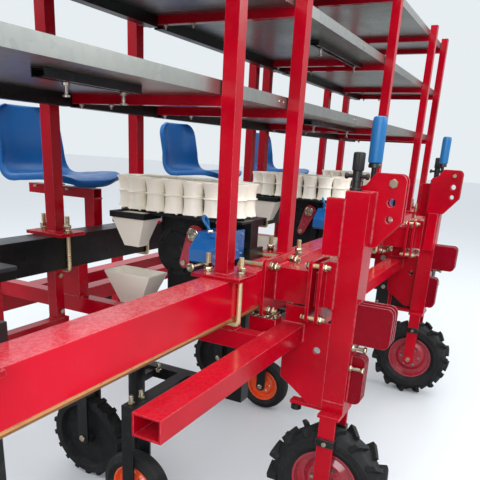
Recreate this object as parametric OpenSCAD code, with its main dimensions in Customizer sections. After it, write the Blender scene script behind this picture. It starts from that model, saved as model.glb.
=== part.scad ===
// Self-propelled seedling transplanter: two cross beams on four lugged wheels,
// four planting units with cup conveyors, four seats and a three-level tray rack.
// Millimetres. X runs along the beams, the front faces -Y, the floor is Z = 0.

/* [Beams] */
// Length of both cross beams
beam_length = 4900; // [4000:50:5200]
// Width of a cross beam, front to back
beam_width = 100; // [80:5:140]
// Height of a cross beam
beam_height = 120; // [80:5:160]
// Wall of the beam tubes
beam_wall = 6; // [4:1:10]
// Height of the front beam's underside over the floor
front_beam_z = 897; // [700:1:1000]
// How much higher the rear beam sits than the front one
rear_beam_step = 52; // [20:1:100]
// Middle of the front beam, front to back
front_beam_y = -740; // [-900:5:-600]
// Middle of the rear beam, front to back
rear_beam_y = -30; // [-100:5:100]
// Size over the flats of the drive shaft
shaft_flats = 20; // [16:1:30]

/* [Chassis] */
// Distance between the two chassis rails, middle to middle
rail_gauge = 2045; // [1800:5:2200]
// Width of a chassis rail
rail_width = 50; // [40:5:80]
// Height of the rails and of the tube in front
rail_height = 60; // [40:5:80]
// Top of the rails over the floor
rail_top = 825; // [780:1:860]
// Height of the rear cross members
cross_height = 80; // [60:5:100]
// Wall of the chassis tubes
rail_wall = 5; // [3:1:8]
// Width of the tube in front, front to back
front_tube_width = 80; // [60:5:100]
// Middle of the tube in front, front to back
front_tube_y = -885; // [-900:5:-860]
// Length of the tube in front
front_tube_length = 3400; // [3000:50:4000]

/* [Legs and wheels] */
// Middle of the left front leg, across the machine
left_leg_x = -610; // [-700:5:-500]
// Distance between the two front wheels
front_track = 1595; // [1400:5:1700]
// Distance between the two rear wheels
rear_track = 1325; // [1200:5:1500]
// Middle of the front legs and wheels, front to back
front_wheel_y = -1060; // [-1200:1:-1000]
// Middle of the rear wheels, front to back
rear_wheel_y = 1060; // [900:5:1300]
// Radius of a road wheel over the lugs
wheel_radius = 227.5; // [200:0.5:260]
// Width of a road tyre
tyre_width = 110; // [90:5:140]
// Radius of the rim's seat
rim_radius = 127; // [110:1:140]
// Height of a tyre lug
lug_height = 18; // [8:1:24]
// Number of lugs on one side of a road tyre
lug_count = 14; // [10:1:18]
// Side of the square leg post
leg_side = 80; // [60:5:100]
// Top of the leg post over the floor
leg_top = 1290; // [1200:5:1400]
// Bottom of the leg post over the floor
leg_bottom = 520; // [480:5:560]
// Radius of the king pin
king_pin_r = 15; // [10:1:20]
// Radius of the front axle bolt
front_axle_r = 10; // [8:1:16]
// Radius of the rear stub axle
rear_axle_r = 15; // [10:1:20]

/* [Tray rack] */
// Side of the square uprights
post_side = 45; // [30:5:60]
// Top of the uprights
post_top = 2250; // [2000:10:2400]
// Front edge of the shelves
shelf_front = -714; // [-760:1:-650]
// Rear edge of the shelves
shelf_rear = -110; // [-200:1:-50]
// Height of the turned lip of a shelf
shelf_lip = 38; // [20:1:60]
// Sheet thickness of a shelf
shelf_sheet = 3; // [2:0.5:5]
// Underside of the lowest shelf
shelf_low_z = 1541; // [1400:1:1700]
// Height from one shelf to the next
shelf_step = 322; // [250:1:400]

/* [Planting units] */
// Distance from one unit to the next
unit_pitch = 1170; // [1000:10:1400]
// Middle of the cup loop, front to back
loop_y = -380; // [-420:5:-300]
// Half the distance between the two cup rows
loop_radius = 105; // [80:1:140]
// Straight length of a cup row
loop_straight = 280; // [200:5:400]
// Number of cups on one loop
cup_count = 15; // [10:1:18]
// Height of a seedling cup
cup_height = 115; // [90:5:150]
// Radius of a cup at its mouth
cup_mouth_r = 37; // [30:1:45]
// Wall of a cup
cup_wall = 3; // [2:0.5:4]
// Top of the conveyor deck
deck_top = 1158; // [1100:1:1200]
// Radius of the lugged press wheel
press_radius = 185; // [150:5:220]
// Width of the press wheel
press_width = 60; // [40:5:80]
// Radius of the gauge wheel
gauge_radius = 140; // [100:5:180]
// Width of the gauge wheel
gauge_width = 80; // [60:5:100]

/* [Seats] */
// Width of a bucket seat
seat_width = 420; // [350:10:480]
// Depth of a bucket seat
seat_depth = 450; // [380:10:500]
// Height of a bucket seat from pan to back edge
seat_height = 320; // [250:10:400]
// Wall of the moulded seat
seat_wall = 12; // [6:1:16]

/* [Hidden] */
$fn = 48;
// Radial play in every turning bearing
bearing_play = 0.06;
// Side gap between a wheel hub and what carries it
side_gap = 1;
// A cut runs this far past the face it opens
over = 1;
// Play of a bolt in its hole
bolt_fit = 0.5;
bolt_r = 8;
sides = [-1, 1];

front_beam_top = front_beam_z + beam_height;
rear_beam_z = front_beam_z + rear_beam_step;
rear_beam_top = rear_beam_z + beam_height;
front_beam_front = front_beam_y - beam_width / 2;
front_beam_rear = front_beam_y + beam_width / 2;
rear_beam_front = rear_beam_y - beam_width / 2;
rear_beam_rear = rear_beam_y + beam_width / 2;
shaft_y = front_beam_front + 15;
shaft_z = front_beam_z - shaft_flats / 2;
shaft_low = shaft_z - shaft_flats / 2;

// The chassis and the wheels stand about this line, a little to the right of the beams' middle
chassis_mid = left_leg_x + front_track / 2;
rail_bottom = rail_top - rail_height;
front_tube_front = front_tube_y - front_tube_width / 2;
front_tube_rear = front_tube_y + front_tube_width / 2;
tread_radius = wheel_radius - lug_height;

// Rows of the rack: x of the upright, half width of its base plate
front_posts = [[-2350, 60], [-1880, 60], [-915, 60], [-440, 44], [810, 44], [1880, 60], [2350, 60]];
rear_posts = [[-2350, 60], [-1880, 60], [-915, 60], [-440, 60], [630, 60], [810, 60], [1880, 60], [2350, 60]];
base_plate = 12;
base_overhang = 35;
// Joints between shelf sheets
shelf_joints = [-2410, -1880, -510, 385, 900, 1880, 2410];
shelf_gap = 4;
rack_rail = 40;
bearer_side = 30;
// Channels hung under the pans: shelf, x of both ends
channels = [[0, -1480, -1150], [0, 100, 780], [1, 100, 780]];

// Units: x of each centre
unit_xs = [for (i = [-1.5, -0.5, 0.5, 1.5]) i * unit_pitch];
// Middle of the seedling path under the cups, beside and behind the unit's middle
drop_x = -137.5;
drop_y = -245;
// Wheels of a unit: distance beside its middle, and place front to back
press_x = -200;
press_y = -40;
gauge_x = -340;
gauge_y = -400;
unit_axle_r = 10;

// Clamp plates of a front leg, front to back
clamp_plate = 12;
clamp_reach = 90;
stub_rear = front_beam_front - clamp_plate;
leg_rear = front_wheel_y + leg_side / 2;
leg_front = front_wheel_y - leg_side / 2;
// Ears on the inner side of a leg: distance of each plate's near face from the post
ear_gap = 27;
ear_thick = 10;
ear_hole_y = front_wheel_y - 90;

red = [0.8, 0.03, 0.13];
black = [0.07, 0.07, 0.08];
zinc = [0.78, 0.68, 0.42];
galvanised = [0.62, 0.66, 0.64];
blue = [0.1, 0.33, 0.6];
cream = [0.92, 0.89, 0.82];
orange = [1, 0.37, 0.15];
rubber = [0.05, 0.05, 0.055];
steel = [0.6, 0.45, 0.25];

// Plain box from its limits
module block(x, y, z) {
  translate([x[0], y[0], z[0]]) cube([x[1] - x[0], y[1] - y[0], z[1] - z[0]]);
}

// Rectangular tubes along X, along Y and standing, open at both ends
module tube_x(x, y, z, wall) {
  difference() {
    block(x, y, z);
    block([x[0] - over, x[1] + over], [y[0] + wall, y[1] - wall], [z[0] + wall, z[1] - wall]);
  }
}

module tube_y(x, y, z, wall) {
  difference() {
    block(x, y, z);
    block([x[0] + wall, x[1] - wall], [y[0] - over, y[1] + over], [z[0] + wall, z[1] - wall]);
  }
}

module tube_z(x, y, z, wall) {
  difference() {
    block(x, y, z);
    block([x[0] + wall, x[1] - wall], [y[0] + wall, y[1] - wall], [z[0] - over, z[1] + over]);
  }
}

// Round bars from their middle line
module rod_x(x, y, z, r) {
  translate([x[0], y, z]) rotate([0, 90, 0]) cylinder(h = x[1] - x[0], r = r);
}

module rod_y(x, y, z, r) {
  translate([x, y[0], z]) rotate([-90, 0, 0]) cylinder(h = y[1] - y[0], r = r);
}

module rod_z(x, y, z, r) {
  translate([x, y, z[0]]) cylinder(h = z[1] - z[0], r = r);
}

// Sheet cut to an outline of front-to-back and height values, thick across the machine
module plate_yz(x) {
  translate([x[0], 0, 0]) rotate([90, 0, 90]) linear_extrude(height = x[1] - x[0]) children();
}

// The same for an outline across the machine, thick front to back
module plate_xz(y) {
  translate([0, y[1], 0]) rotate([90, 0, 0]) linear_extrude(height = y[1] - y[0]) children();
}

// Rectangle with four rounded corners
module rounded(x, y, r) {
  translate([x[0] + r, y[0]]) square([x[1] - x[0] - 2 * r, y[1] - y[0]]);
  translate([x[0], y[0] + r]) square([x[1] - x[0], y[1] - y[0] - 2 * r]);
  for (u = [x[0] + r, x[1] - r], v = [y[0] + r, y[1] - r]) translate([u, v]) circle(r = r);
}

// Hexagon head or nut standing on the XY plane
module hex(h, flats) {
  cylinder(h = h, r = flats / 2 / cos(30), $fn = 6);
}

// Both front legs are the same piece, the right one mirrored
module at_legs() {
  translate([chassis_mid, 0, 0]) for (s = sides) mirror([s < 0 ? 0 : 1, 0, 0])
    translate([-front_track / 2, 0, 0]) children();
}

module front_beam() {
  color(red) tube_x([-beam_length / 2, beam_length / 2], [front_beam_front, front_beam_rear],
    [front_beam_z, front_beam_top], beam_wall);
}

module rear_beam() {
  color(black) tube_x([-beam_length / 2, beam_length / 2], [rear_beam_front, rear_beam_rear],
    [rear_beam_z, rear_beam_top], beam_wall);
}

// Hexagon shaft hung under the front edge of the front beam
module drive_shaft() {
  color(steel) translate([-beam_length / 2 + 70, shaft_y, shaft_z]) rotate([0, 90, 0])
    rotate([0, 0, 30]) hex(beam_length - 140, shaft_flats);
}

// Rails, tube in front, cross members, risers, leg gussets and the engine's cradle
module chassis() {
  rail_x = rail_gauge / 2;
  z = [rail_bottom, rail_top];
  color(red) translate([chassis_mid, 0, 0]) {
    tube_x([-front_tube_length / 2, front_tube_length / 2], [front_tube_front, front_tube_rear],
      z, rail_wall);
    tube_x([-rail_x + rail_width / 2, rail_x - rail_width / 2], [-10, 50], z, rail_wall);
    for (s = sides) {
      x = [s * rail_x - rail_width / 2, s * rail_x + rail_width / 2];
      tube_y(x, [front_tube_rear, rear_wheel_y + 40], z, rail_wall);
      block(x, [shaft_y + 20, front_beam_rear], [rail_top, front_beam_z]);
      block(x, [rear_beam_front, rear_beam_rear], [rail_top, rear_beam_z]);
      gusset(s);
    }
    for (y = [400, rear_wheel_y])
      tube_x([-rail_x - 40, rail_x + 40], [y - 40, y + 40],
        [rail_bottom - cross_height, rail_bottom], rail_wall);
    translate([engine_x - chassis_mid, 0, 0]) {
      for (x = [-engine_half - 18, engine_half + 6])
        block([x, x + 12], [front_tube_rear - 20, front_tube_rear], [480, rail_bottom]);
      block([-engine_half - 18, engine_half + 18], [-1070, front_tube_rear], [480, 488]);
    }
  }
}

// Plate from the tube in front to the back of a leg post
module gusset(s) {
  x = front_track / 2 + leg_side / 2;
  difference() {
    plate_yz(s < 0 ? [-x, 12 - x] : [x - 12, x]) polygon([
      [leg_rear, leg_bottom + 10], [-970, leg_bottom + 10], [-850, 615], [-850, front_beam_z - 7],
      [-935, front_beam_z - 7], [-935, 845], [leg_rear, 845]]);
    rod_x([-front_track, front_track], -980, 740, 13);
  }
}

// Front leg: post, bearing block, stub with its clamp plates to the front beam, and lift ears
module front_legs() {
  h = leg_side / 2;
  ear_x = [h, h + ear_thick + ear_gap];
  color(red) at_legs() difference() {
    union() {
      tube_z([-h, h], [leg_front, leg_rear], [leg_bottom + 100, leg_top - 8], 6);
      block([-h, h], [leg_front, leg_rear], [leg_bottom, leg_bottom + 100]);
      block([-h, h], [leg_front, leg_rear], [leg_top - 8, leg_top]);
      block([-40, 60], [-940, stub_rear], [front_beam_z, front_beam_top]);
      plate_xz([stub_rear, front_beam_front]) rounded([-130, 120], [850, 1050], 18);
      for (y = [-952, -987])
        plate_xz([y, y + 12]) rounded([-90, 110], [850, 1060], 10);
      block([-40, 60], [-975, -952], [front_beam_z, front_beam_top]);
      block([-h, h], [leg_rear, -987], [900, 1060]);
      tube_z([h, h + 50], [leg_front + 5, leg_front + 55], [905, 1112], 4);
      block([-h, -h + 6], [leg_rear, -960], [1080, 1265]);
      block([-h, -h + 40], [-966, -960], [1080, 1265]);
      for (x = ear_x) plate_yz([x, x + ear_thick]) ear();
      block([h + ear_thick, ear_x[1]], [-1045, -1033], [1120, 1300]);
    }
    translate([0, front_wheel_y, leg_bottom - over])
      cylinder(h = 102, r = king_pin_r + bearing_play);
    for (p = [[1320, 10], [1260, 14], [1206, 12]])
      rod_x([h - over, h + 100], ear_hole_y, p[0], p[1]);
    for (u = [-clamp_reach, clamp_reach], z = [front_beam_top + bolt_r + bolt_fit, shaft_low - bolt_r - bolt_fit])
      rod_y(u, [stub_rear - over, front_beam_front + over], z, bolt_r + bolt_fit);
    for (u = [-75, 95], z = [865, 1045])
      rod_y(u, [-990, -938], z, bolt_r + bolt_fit);
  }
}

// Outline of a lift ear, front edge chamfered below and rounded above
module ear() {
  polygon([[-1045, 1105], [-1118, 1112], [-1190, 1200], [-1190, 1325], [-1165, 1350],
    [-1090, 1350], [-1062, 1311], [-1033, 1300], [-1033, 1120]]);
  translate([-1165, 1325]) circle(r = 25);
}

// Rear legs: a square arm inside each rear wheel, with its clamp collar and stub axle
module rear_legs() {
  inner = rear_track / 2 - tyre_width / 2 - 30;
  color(red) translate([chassis_mid, 0, 0]) for (s = sides) mirror([s < 0 ? 0 : 1, 0, 0]) {
    block([-inner, -inner + 60], [rear_wheel_y - 30, rear_wheel_y + 30], [wheel_radius, rail_bottom - cross_height]);
    plate_yz([-inner, -inner + 60]) translate([rear_wheel_y, wheel_radius]) circle(r = 45);
    block([-inner - 5, -inner + 65], [rear_wheel_y - 36, rear_wheel_y + 36], [430, 470]);
    rod_x([-rear_track / 2 - 72, -inner], rear_wheel_y, wheel_radius, rear_axle_r);
  }
}

// Base plate of an upright with the two holes for its U-bolt
module post_base(x, y, z, half) {
  reach = beam_width / 2 + bolt_r + bolt_fit;
  difference() {
    block([x - half, x + half], [y - beam_width / 2 - base_overhang, y + beam_width / 2 + base_overhang],
      [z, z + base_plate]);
    for (v = sides)
      rod_z(x, y + v * reach, [z - over, z + base_plate + over], bolt_r + bolt_fit);
  }
}

// One row of uprights with their base plates on a beam
module post_row(posts, y, z) {
  h = post_side / 2;
  for (p = posts) {
    post_base(p[0], y, z, p[1]);
    tube_z([p[0] - h, p[0] + h], [y - h, y + h], [z + base_plate, post_top], 3);
  }
}

module rack_posts() {
  color(red) {
    post_row(front_posts, front_beam_y, front_beam_top);
    post_row(rear_posts, rear_beam_y, rear_beam_top);
  }
}

function shelf_z(i) = shelf_low_z + i * shelf_step;

// Rails along X under the rear edge of each shelf, between the cross bearers, and the channels
module shelf_rails() {
  h = bearer_side / 2;
  color(black) {
    for (i = [0:2], k = [0:len(rear_posts) - 2])
      tube_x([rear_posts[k][0] + h, rear_posts[k + 1][0] - h], [shelf_rear - rack_rail, shelf_rear],
        [shelf_z(i) - rack_rail, shelf_z(i)], 3);
    for (c = channels) difference() {
      block([c[1], c[2]], [-600, -560], [shelf_z(c[0]) - 21, shelf_z(c[0])]);
      block([c[1] - over, c[2] + over], [-597, -563], [shelf_z(c[0]) - 18, shelf_z(c[0]) - 3]);
      block([c[1] - over, c[2] + over], [-588, -572], [shelf_z(c[0]) - 22, shelf_z(c[0]) - 17]);
    }
  }
}

// Cross bearers under the shelves, from the front row to the rear row
module rack_bearers() {
  front = front_beam_y + post_side / 2;
  rear = rear_beam_y - post_side / 2;
  h = bearer_side / 2;
  color(red) for (i = [0:2], p = rear_posts)
    block([p[0] - h, p[0] + h], [p[0] == 630 ? -550 : front, rear],
      [shelf_z(i) - bearer_side, shelf_z(i)]);
}

// One level of galvanised pans with turned lips
module shelf(i) {
  z = shelf_z(i);
  color(galvanised) for (k = [0:len(shelf_joints) - 2]) {
    x = [shelf_joints[k] + shelf_gap / 2, shelf_joints[k + 1] - shelf_gap / 2];
    block(x, [shelf_front, shelf_rear], [z, z + shelf_sheet]);
    for (y = [[shelf_front, 1], [shelf_rear, -1]]) {
      block(x, [min(y[0], y[0] + y[1] * shelf_sheet), max(y[0], y[0] + y[1] * shelf_sheet)],
        [z, z + shelf_lip]);
      block(x, [min(y[0], y[0] + y[1] * 14), max(y[0], y[0] + y[1] * 14)],
        [z + shelf_lip - shelf_sheet, z + shelf_lip]);
    }
  }
}

// U-bolt with bent corners: legs up Z from the bar, which lies along Y under the origin
module u_bolt(reach, leg, thread) {
  bend = bolt_r + 1.5;
  rod_y(0, [-reach + bend, reach - bend], 0, bolt_r);
  for (v = sides) {
    rod_z(0, v * reach, [bend, leg], bolt_r);
    translate([0, v * (reach - bend), bend]) rotate([0, 90, 0]) rotate([0, 0, v < 0 ? -90 : 0])
      rotate_extrude(angle = 90) translate([bend, 0]) circle(r = bolt_r);
    for (n = thread) translate([0, v * reach, n]) hex(12, 24);
  }
}

// U-bolts of the uprights from below, of the leg clamps from behind, and the leg flange bolts
module u_bolts() {
  reach = beam_width / 2 + bolt_r + bolt_fit;
  front_low = shaft_low - bolt_r - bolt_fit;
  clamp_mid = (front_beam_top + shaft_low) / 2;
  clamp_span = (front_beam_top - shaft_low) / 2 + bolt_r + bolt_fit;
  clamp_depth = beam_width + clamp_plate + bolt_r + bolt_fit;
  color(zinc) {
    for (p = front_posts) translate([p[0], front_beam_y, front_low])
      u_bolt(reach, front_beam_top + base_plate - front_low + 38,
        [for (n = [0, 13]) front_beam_top + base_plate - front_low + n]);
    for (p = rear_posts) translate([p[0], rear_beam_y, rear_beam_z - bolt_r - bolt_fit])
      u_bolt(reach, beam_height + base_plate + bolt_r + bolt_fit + 38,
        [for (n = [0, 13]) beam_height + base_plate + bolt_r + bolt_fit + n]);
    at_legs() {
      for (u = [-clamp_reach, clamp_reach])
        translate([u, front_beam_rear + bolt_r + bolt_fit, clamp_mid]) rotate([90, 0, 0])
          u_bolt(clamp_span, clamp_depth + 34, [for (n = [0, 13]) clamp_depth + n]);
      for (u = [-75, 95], z = [865, 1045]) {
        rod_y(u, [-1008, -922], z, bolt_r);
        translate([u, -940, z]) rotate([-90, 0, 0]) hex(13, 24);
        translate([u, -987, z]) rotate([90, 0, 0]) hex(13, 24);
      }
      for (z = [775, 700]) {
        rod_y(-30, [leg_front - 52, leg_front], z, 6);
        translate([-30, leg_front, z]) rotate([90, 0, 0]) hex(10, 19);
        translate([-30, leg_front - 42, z]) rotate([90, 0, 0]) hex(10, 19);
      }
      rod_x([leg_side / 2 - 9.5, leg_side / 2 + 2 * ear_thick + ear_gap + 12], ear_hole_y, 1320, 9.7);
      translate([leg_side / 2, ear_hole_y, 1320]) rotate([0, -90, 0]) hex(9, 26);
    }
  }
}

// Rounded plates in front of each leg: lowest, highest, how far in front, offsets across
module leg_plates() {
  stacks = [[790, 930, 125, [-35, -5, 25]], [560, 740, 50, [-12, 8, 28]]];
  r = 24;
  color(red) at_legs() for (k = stacks, x = k[3]) plate_yz([x, x + 10]) {
    translate([leg_front - k[2] + r, k[0]]) square([k[2] - r, k[1] - k[0]]);
    translate([leg_front - k[2], k[0] + r]) square([r, k[1] - k[0] - 2 * r]);
    for (z = [k[0] + r, k[1] - r]) translate([leg_front - k[2] + r, z]) circle(r = r);
  }
}

// Lever with its round grip, its lug held between the two ears
module lever_grips() {
  y = front_wheel_y - 15;
  x = leg_side / 2 + ear_thick;
  color(blue) at_legs() {
    rod_x([x, x + ear_gap], y, 1160, 12);
    rod_z(x + ear_gap / 2, y, [1160, 1363], 8);
    rod_z(x + ear_gap / 2, y, [1363, 1375], 20);
    rod_z(x + ear_gap / 2, y, [1375, 1512], 23);
    rod_z(x + ear_gap / 2, y, [1512, 1520], 19);
  }
}

// Screw jack heads on the leg tops with their cross bar
module jack_heads() {
  color(black) at_legs() translate([0, front_wheel_y + 20, leg_top]) {
    cylinder(h = 10, r = 20);
    cylinder(h = 64, r = 14);
    translate([0, 0, 64]) cylinder(h = 56, r = 19);
    rod_y(0, [-34, 34], 46, 6);
    for (v = sides) rod_y(0, [v * 34 - 5, v * 34 + 5], 46, 10);
  }
}

// Open-topped case of the chain from the drive shaft, against the tube in front
case_x = [-115, -55];
case_y = [-845, -745];
sprocket_y = -797;
sprocket_z = 805;
sprocket_r = 32;

module chain_cases() {
  color(red) at_legs() difference() {
    block(case_x, case_y, [690, 845]);
    block([case_x[0] + 3, case_x[1] - 3], [case_y[0] + 3, case_y[1] - 3], [693, 846]);
    rod_x([case_x[1] - 10, case_x[1] + over], sprocket_y, sprocket_z, 12.1);
  }
}

// Roller chain round its sprocket, running down into the case
module drive_chains() {
  x = (case_x[0] + case_x[1]) / 2;
  r = sprocket_r;
  low = 730;
  color(zinc) at_legs() {
    rod_x([x - 12, case_x[1] + 14], sprocket_y, sprocket_z, 12);
    translate([case_x[1], sprocket_y, sprocket_z]) rotate([0, 90, 0]) hex(10, 30);
    rod_x([x - 3, x + 3], sprocket_y, sprocket_z, r + 1);
    for (v = [x - 9, x + 5]) plate_yz([v, v + 4]) difference() {
      chain_run(r + 5, low);
      chain_run(r - 3, low);
    }
    for (a = [0:20:180])
      rod_x([x - 11, x + 11], sprocket_y + r * cos(a), sprocket_z + r * sin(a), 4);
    for (z = [low:11:sprocket_z - 5], v = sides)
      rod_x([x - 11, x + 11], sprocket_y + v * r, z, 4);
  }
}

module chain_run(r, low) {
  translate([sprocket_y, sprocket_z]) circle(r = r);
  translate([sprocket_y, low]) circle(r = r);
  translate([sprocket_y - r, low]) square([2 * r, sprocket_z - low]);
}

engine_x = 1290;
engine_half = 147;

module engine() {
  color(black) block([engine_x - engine_half, engine_x + engine_half], [-1060, -760], [488, 750]);
}

// Round orange cover on the engine's left side
module engine_cap() {
  color(orange) rod_x([engine_x - engine_half - 24, engine_x - engine_half], -900, 665, 33);
}

// Frustum of a pyramid with different slopes on its two pairs of sides
module frustum(bottom, top, h) {
  intersection() {
    translate([0, max(bottom[1], top[1]), 0]) rotate([90, 0, 0])
      linear_extrude(height = 2 * max(bottom[1], top[1]))
      polygon([[-bottom[0] / 2, 0], [bottom[0] / 2, 0], [top[0] / 2, h], [-top[0] / 2, h]]);
    translate([-max(bottom[0], top[0]), 0, 0]) rotate([90, 0, 90])
      linear_extrude(height = 2 * max(bottom[0], top[0]))
      polygon([[-bottom[1] / 2, 0], [bottom[1] / 2, 0], [top[1] / 2, h], [-top[1] / 2, h]]);
  }
}

// Fixed parts of one black unit frame
column_rear = front_beam_rear + 82;
body_rear = -470;
mouth = [96, 143];
mouth_low = 1136;
tube_r = 34;
hopper_low = 790;

module planter_frame() {
  difference() {
    union() {
      // Clamp plate, column and gear body
      block([-55, 55], [front_beam_rear, front_beam_rear + 12], [front_beam_z - 30, front_beam_top + 40]);
      block([-30, 30], [front_beam_rear + 12, column_rear], [440, deck_top - 8]);
      block([-60, 60], [column_rear, body_rear], [940, deck_top - 8]);
      // Deck under the cups with a collar round the funnel's mouth
      plate_deck();
      block([drop_x - mouth[0] / 2 - 7, drop_x + mouth[0] / 2 + 7],
        [drop_y - mouth[1] / 2 - 7, drop_y + mouth[1] / 2 + 7], [mouth_low, deck_top - 8]);
      // Round clutch housing with its cover
      rod_x([-85, -30], -400, 1020, 90);
      rod_x([-89, -85], -400, 1020, 70);
      block([-80, -30], [body_rear - 60, -380], [935, deck_top - 8]);
      block([-60, 60], [body_rear, -310], [1085, deck_top - 8]);
      rod_x([-104, -60], -495, 1098, 12);
      // Tool bar along the unit and its cross bars
      tube_y([-25, 25], [column_rear, 120], [445, 495], 4);
      block([press_x - 46, -25], [-65, -15], [445, 495]);
      block([gauge_x - 56, -25], [gauge_y - 25, gauge_y + 25], [445, 495]);
      // Wheel arms and their axles
      for (a = [[press_x, press_y, press_radius, press_width / 2 + 6],
        [gauge_x, gauge_y, gauge_radius, gauge_width / 2 + 6]]) {
        for (x = [a[0] - a[3] - 10, a[0] + a[3]]) {
          block([x, x + 10], [a[1] - 25, a[1] + 25], [a[2], 445]);
          plate_yz([x, x + 10]) translate([a[1], a[2]]) circle(r = 25);
        }
        rod_x([a[0] - a[3] - 10, a[0] + a[3] + 10], a[1], a[2], unit_axle_r);
      }
      // Drop tube, planting beak and the struts that hold them
      rod_z(drop_x, drop_y, [300, hopper_low], tube_r);
      translate([drop_x, drop_y, 60]) cylinder(h = 240, r1 = 10, r2 = 45);
      block([drop_x, -25], [drop_y - 15, drop_y + 15], [455, 485]);
      block([drop_x, -30], [-370, -340], [800, 830]);
      block([drop_x - 15, drop_x + 15], [-370, drop_y], [745, 775]);
      block([drop_x - 15, drop_x + 15], [-370, -340], [745, 830]);
      block([-60, -30], [-500, -340], [800, 950]);
    }
    rod_z(drop_x, drop_y, [299, hopper_low + over], tube_r - 4);
    translate([drop_x, drop_y, 60 - over]) cylinder(h = 242, r1 = 4, r2 = tube_r - 4);
    block([drop_x - mouth[0] / 2, drop_x + mouth[0] / 2], [drop_y - mouth[1] / 2, drop_y + mouth[1] / 2],
      [mouth_low - over, deck_top + over]);
  }
}

module plate_deck() {
  r = loop_radius + 30;
  translate([0, loop_y, deck_top - 8]) linear_extrude(height = 8) racetrack(r);
  block([-100, 100], [front_beam_rear + 12, loop_y - loop_straight / 2], [deck_top - 8, deck_top]);
  block([drop_x - mouth[0] / 2 - 7, -80],
    [drop_y - mouth[1] / 2 - 7, drop_y + mouth[1] / 2 + 7], [deck_top - 8, deck_top]);
}

module planter_frames() {
  color(black) for (x = unit_xs) translate([x, 0, 0]) planter_frame();
}

// Racetrack outline of the cup loop at a given distance from its middle line
module racetrack(r) {
  square([2 * r, loop_straight], center = true);
  for (s = sides) translate([0, s * loop_straight / 2]) circle(r = r);
}

// Place on the loop, u pitches along: front-to-back place of the turning centre and the angle
function loop_length() = 2 * loop_straight + 2 * PI * loop_radius;
function turn(u) =
  let (s = u * loop_length() / cup_count, half = PI * loop_radius, L = loop_straight)
  s < L ? [-L / 2 + s, 180] :
  s < L + half ? [L / 2, 180 - (s - L) / loop_radius * 180 / PI] :
  s < 2 * L + half ? [L / 2 - (s - L - half), 0] :
  [-L / 2, -(s - 2 * L - half) / loop_radius * 180 / PI];

module on_loop(u) {
  t = turn(u);
  translate([0, t[0], 0]) rotate([0, 0, t[1]]) children();
}

// Cup conveyor: carrier ring with a rib between every two cups, two sprockets and their shafts
carrier_z = 63;
module cup_chains() {
  color(black) for (x = unit_xs) translate([x, loop_y, deck_top]) {
    difference() {
      translate([0, 0, carrier_z]) linear_extrude(height = 4) racetrack(75);
      translate([0, 0, carrier_z - over]) linear_extrude(height = 4 + 2 * over) racetrack(62);
    }
    for (i = [0:cup_count - 1]) on_loop(i) {
      translate([70, -3, carrier_z]) cube([28, 6, 4]);
      translate([92, -3, 22]) cube([6, 6, 74]);
    }
    for (s = sides) translate([0, s * loop_straight / 2, 0]) {
      translate([0, 0, carrier_z]) cylinder(h = 4, r = 63);
      cylinder(h = carrier_z + 16, r = 12);
      translate([0, 0, carrier_z + 16]) hex(8, 30);
    }
  }
}

// Flared cup with a flange in the middle that rests on the carrier ring
cup_base_r = 31;
module cup() {
  m = cup_mouth_r;
  w = cup_wall;
  h = cup_height;
  rotate_extrude() polygon([
    [0, 0], [cup_base_r, 0], [cup_base_r, 5], [28, 14], [29, 59], [33, 59], [33, carrier_z],
    [29, carrier_z], [31, h - 24], [m, h - 6], [m, h], [m - w, h], [m - w, h - 6],
    [31 - w, h - 22], [29 - w, carrier_z], [28 - w, 14], [28 - w, 4], [0, 4]]);
}

module seedling_cups() {
  color(cream) for (x = unit_xs, i = [0:cup_count - 1])
    translate([x, loop_y, deck_top + 8]) on_loop(i + 0.5) translate([loop_radius, 0, 0]) cup();
}

// Upper funnel hung in the deck's collar, and the hopper on the drop tube below it
module funnel(low, neck, top, collar) {
  wall = 4;
  inner = [top[0] - 2 * wall, top[1] - 2 * wall];
  difference() {
    union() {
      translate([0, 0, low]) frustum(neck, top, collar[0] - low);
      translate([-top[0] / 2, -top[1] / 2, collar[0]]) cube([top[0], top[1], collar[1] - collar[0]]);
    }
    translate([0, 0, low]) frustum([neck[0] - 2 * wall, neck[1] - 2 * wall], inner, collar[0] - low);
    translate([-inner[0] / 2, -inner[1] / 2, collar[0]]) cube([inner[0], inner[1], collar[1] - collar[0] + over]);
    translate([-neck[0] / 2 + wall, -neck[1] / 2 + wall, low - over]) cube([neck[0] - 2 * wall, neck[1] - 2 * wall, 2 * over]);
  }
}

module drop_funnels() {
  color(cream) for (x = unit_xs) translate([x + drop_x, drop_y, 0]) {
    funnel(1030, [52, 66], mouth, [mouth_low - 6, deck_top - 8]);
    funnel(hopper_low, [70, 76], [120, 210], [924, 930]);
  }
}

// Flat arm with two rounded ends, thick toward the unit
module arm(r1, r2, length, thick) {
  a = acos((r1 - r2) / length);
  linear_extrude(height = thick) {
    circle(r = r1);
    translate([length, 0]) circle(r = r2);
    polygon([[r1 * cos(a), r1 * sin(a)], [length + r2 * cos(a), r2 * sin(a)],
      [length + r2 * cos(a), -r2 * sin(a)], [r1 * cos(a), -r1 * sin(a)]]);
  }
}

module crank_arms() {
  color(red) for (x = unit_xs) translate([x - 104, -495, 1098]) {
    rotate([0, -90, 0]) rotate([0, 0, 158]) arm(32, 19, 118, 14);
    rod_x([-26, -14], 0, 0, 20);
  }
}

// Blue feed box beside the column, its ends chamfered
module drive_boxes() {
  y = front_beam_rear + 22;
  color(blue) for (x = unit_xs) translate([x, 0, 0]) {
    plate_xz([y, y + 90]) polygon([[-285, 1040], [-265, 1030], [-60, 1030], [-60, 1130],
      [-225, 1130], [-285, 1078]]);
    rod_z(-235, y + 30, [1118, 1136], 12);
  }
}

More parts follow.
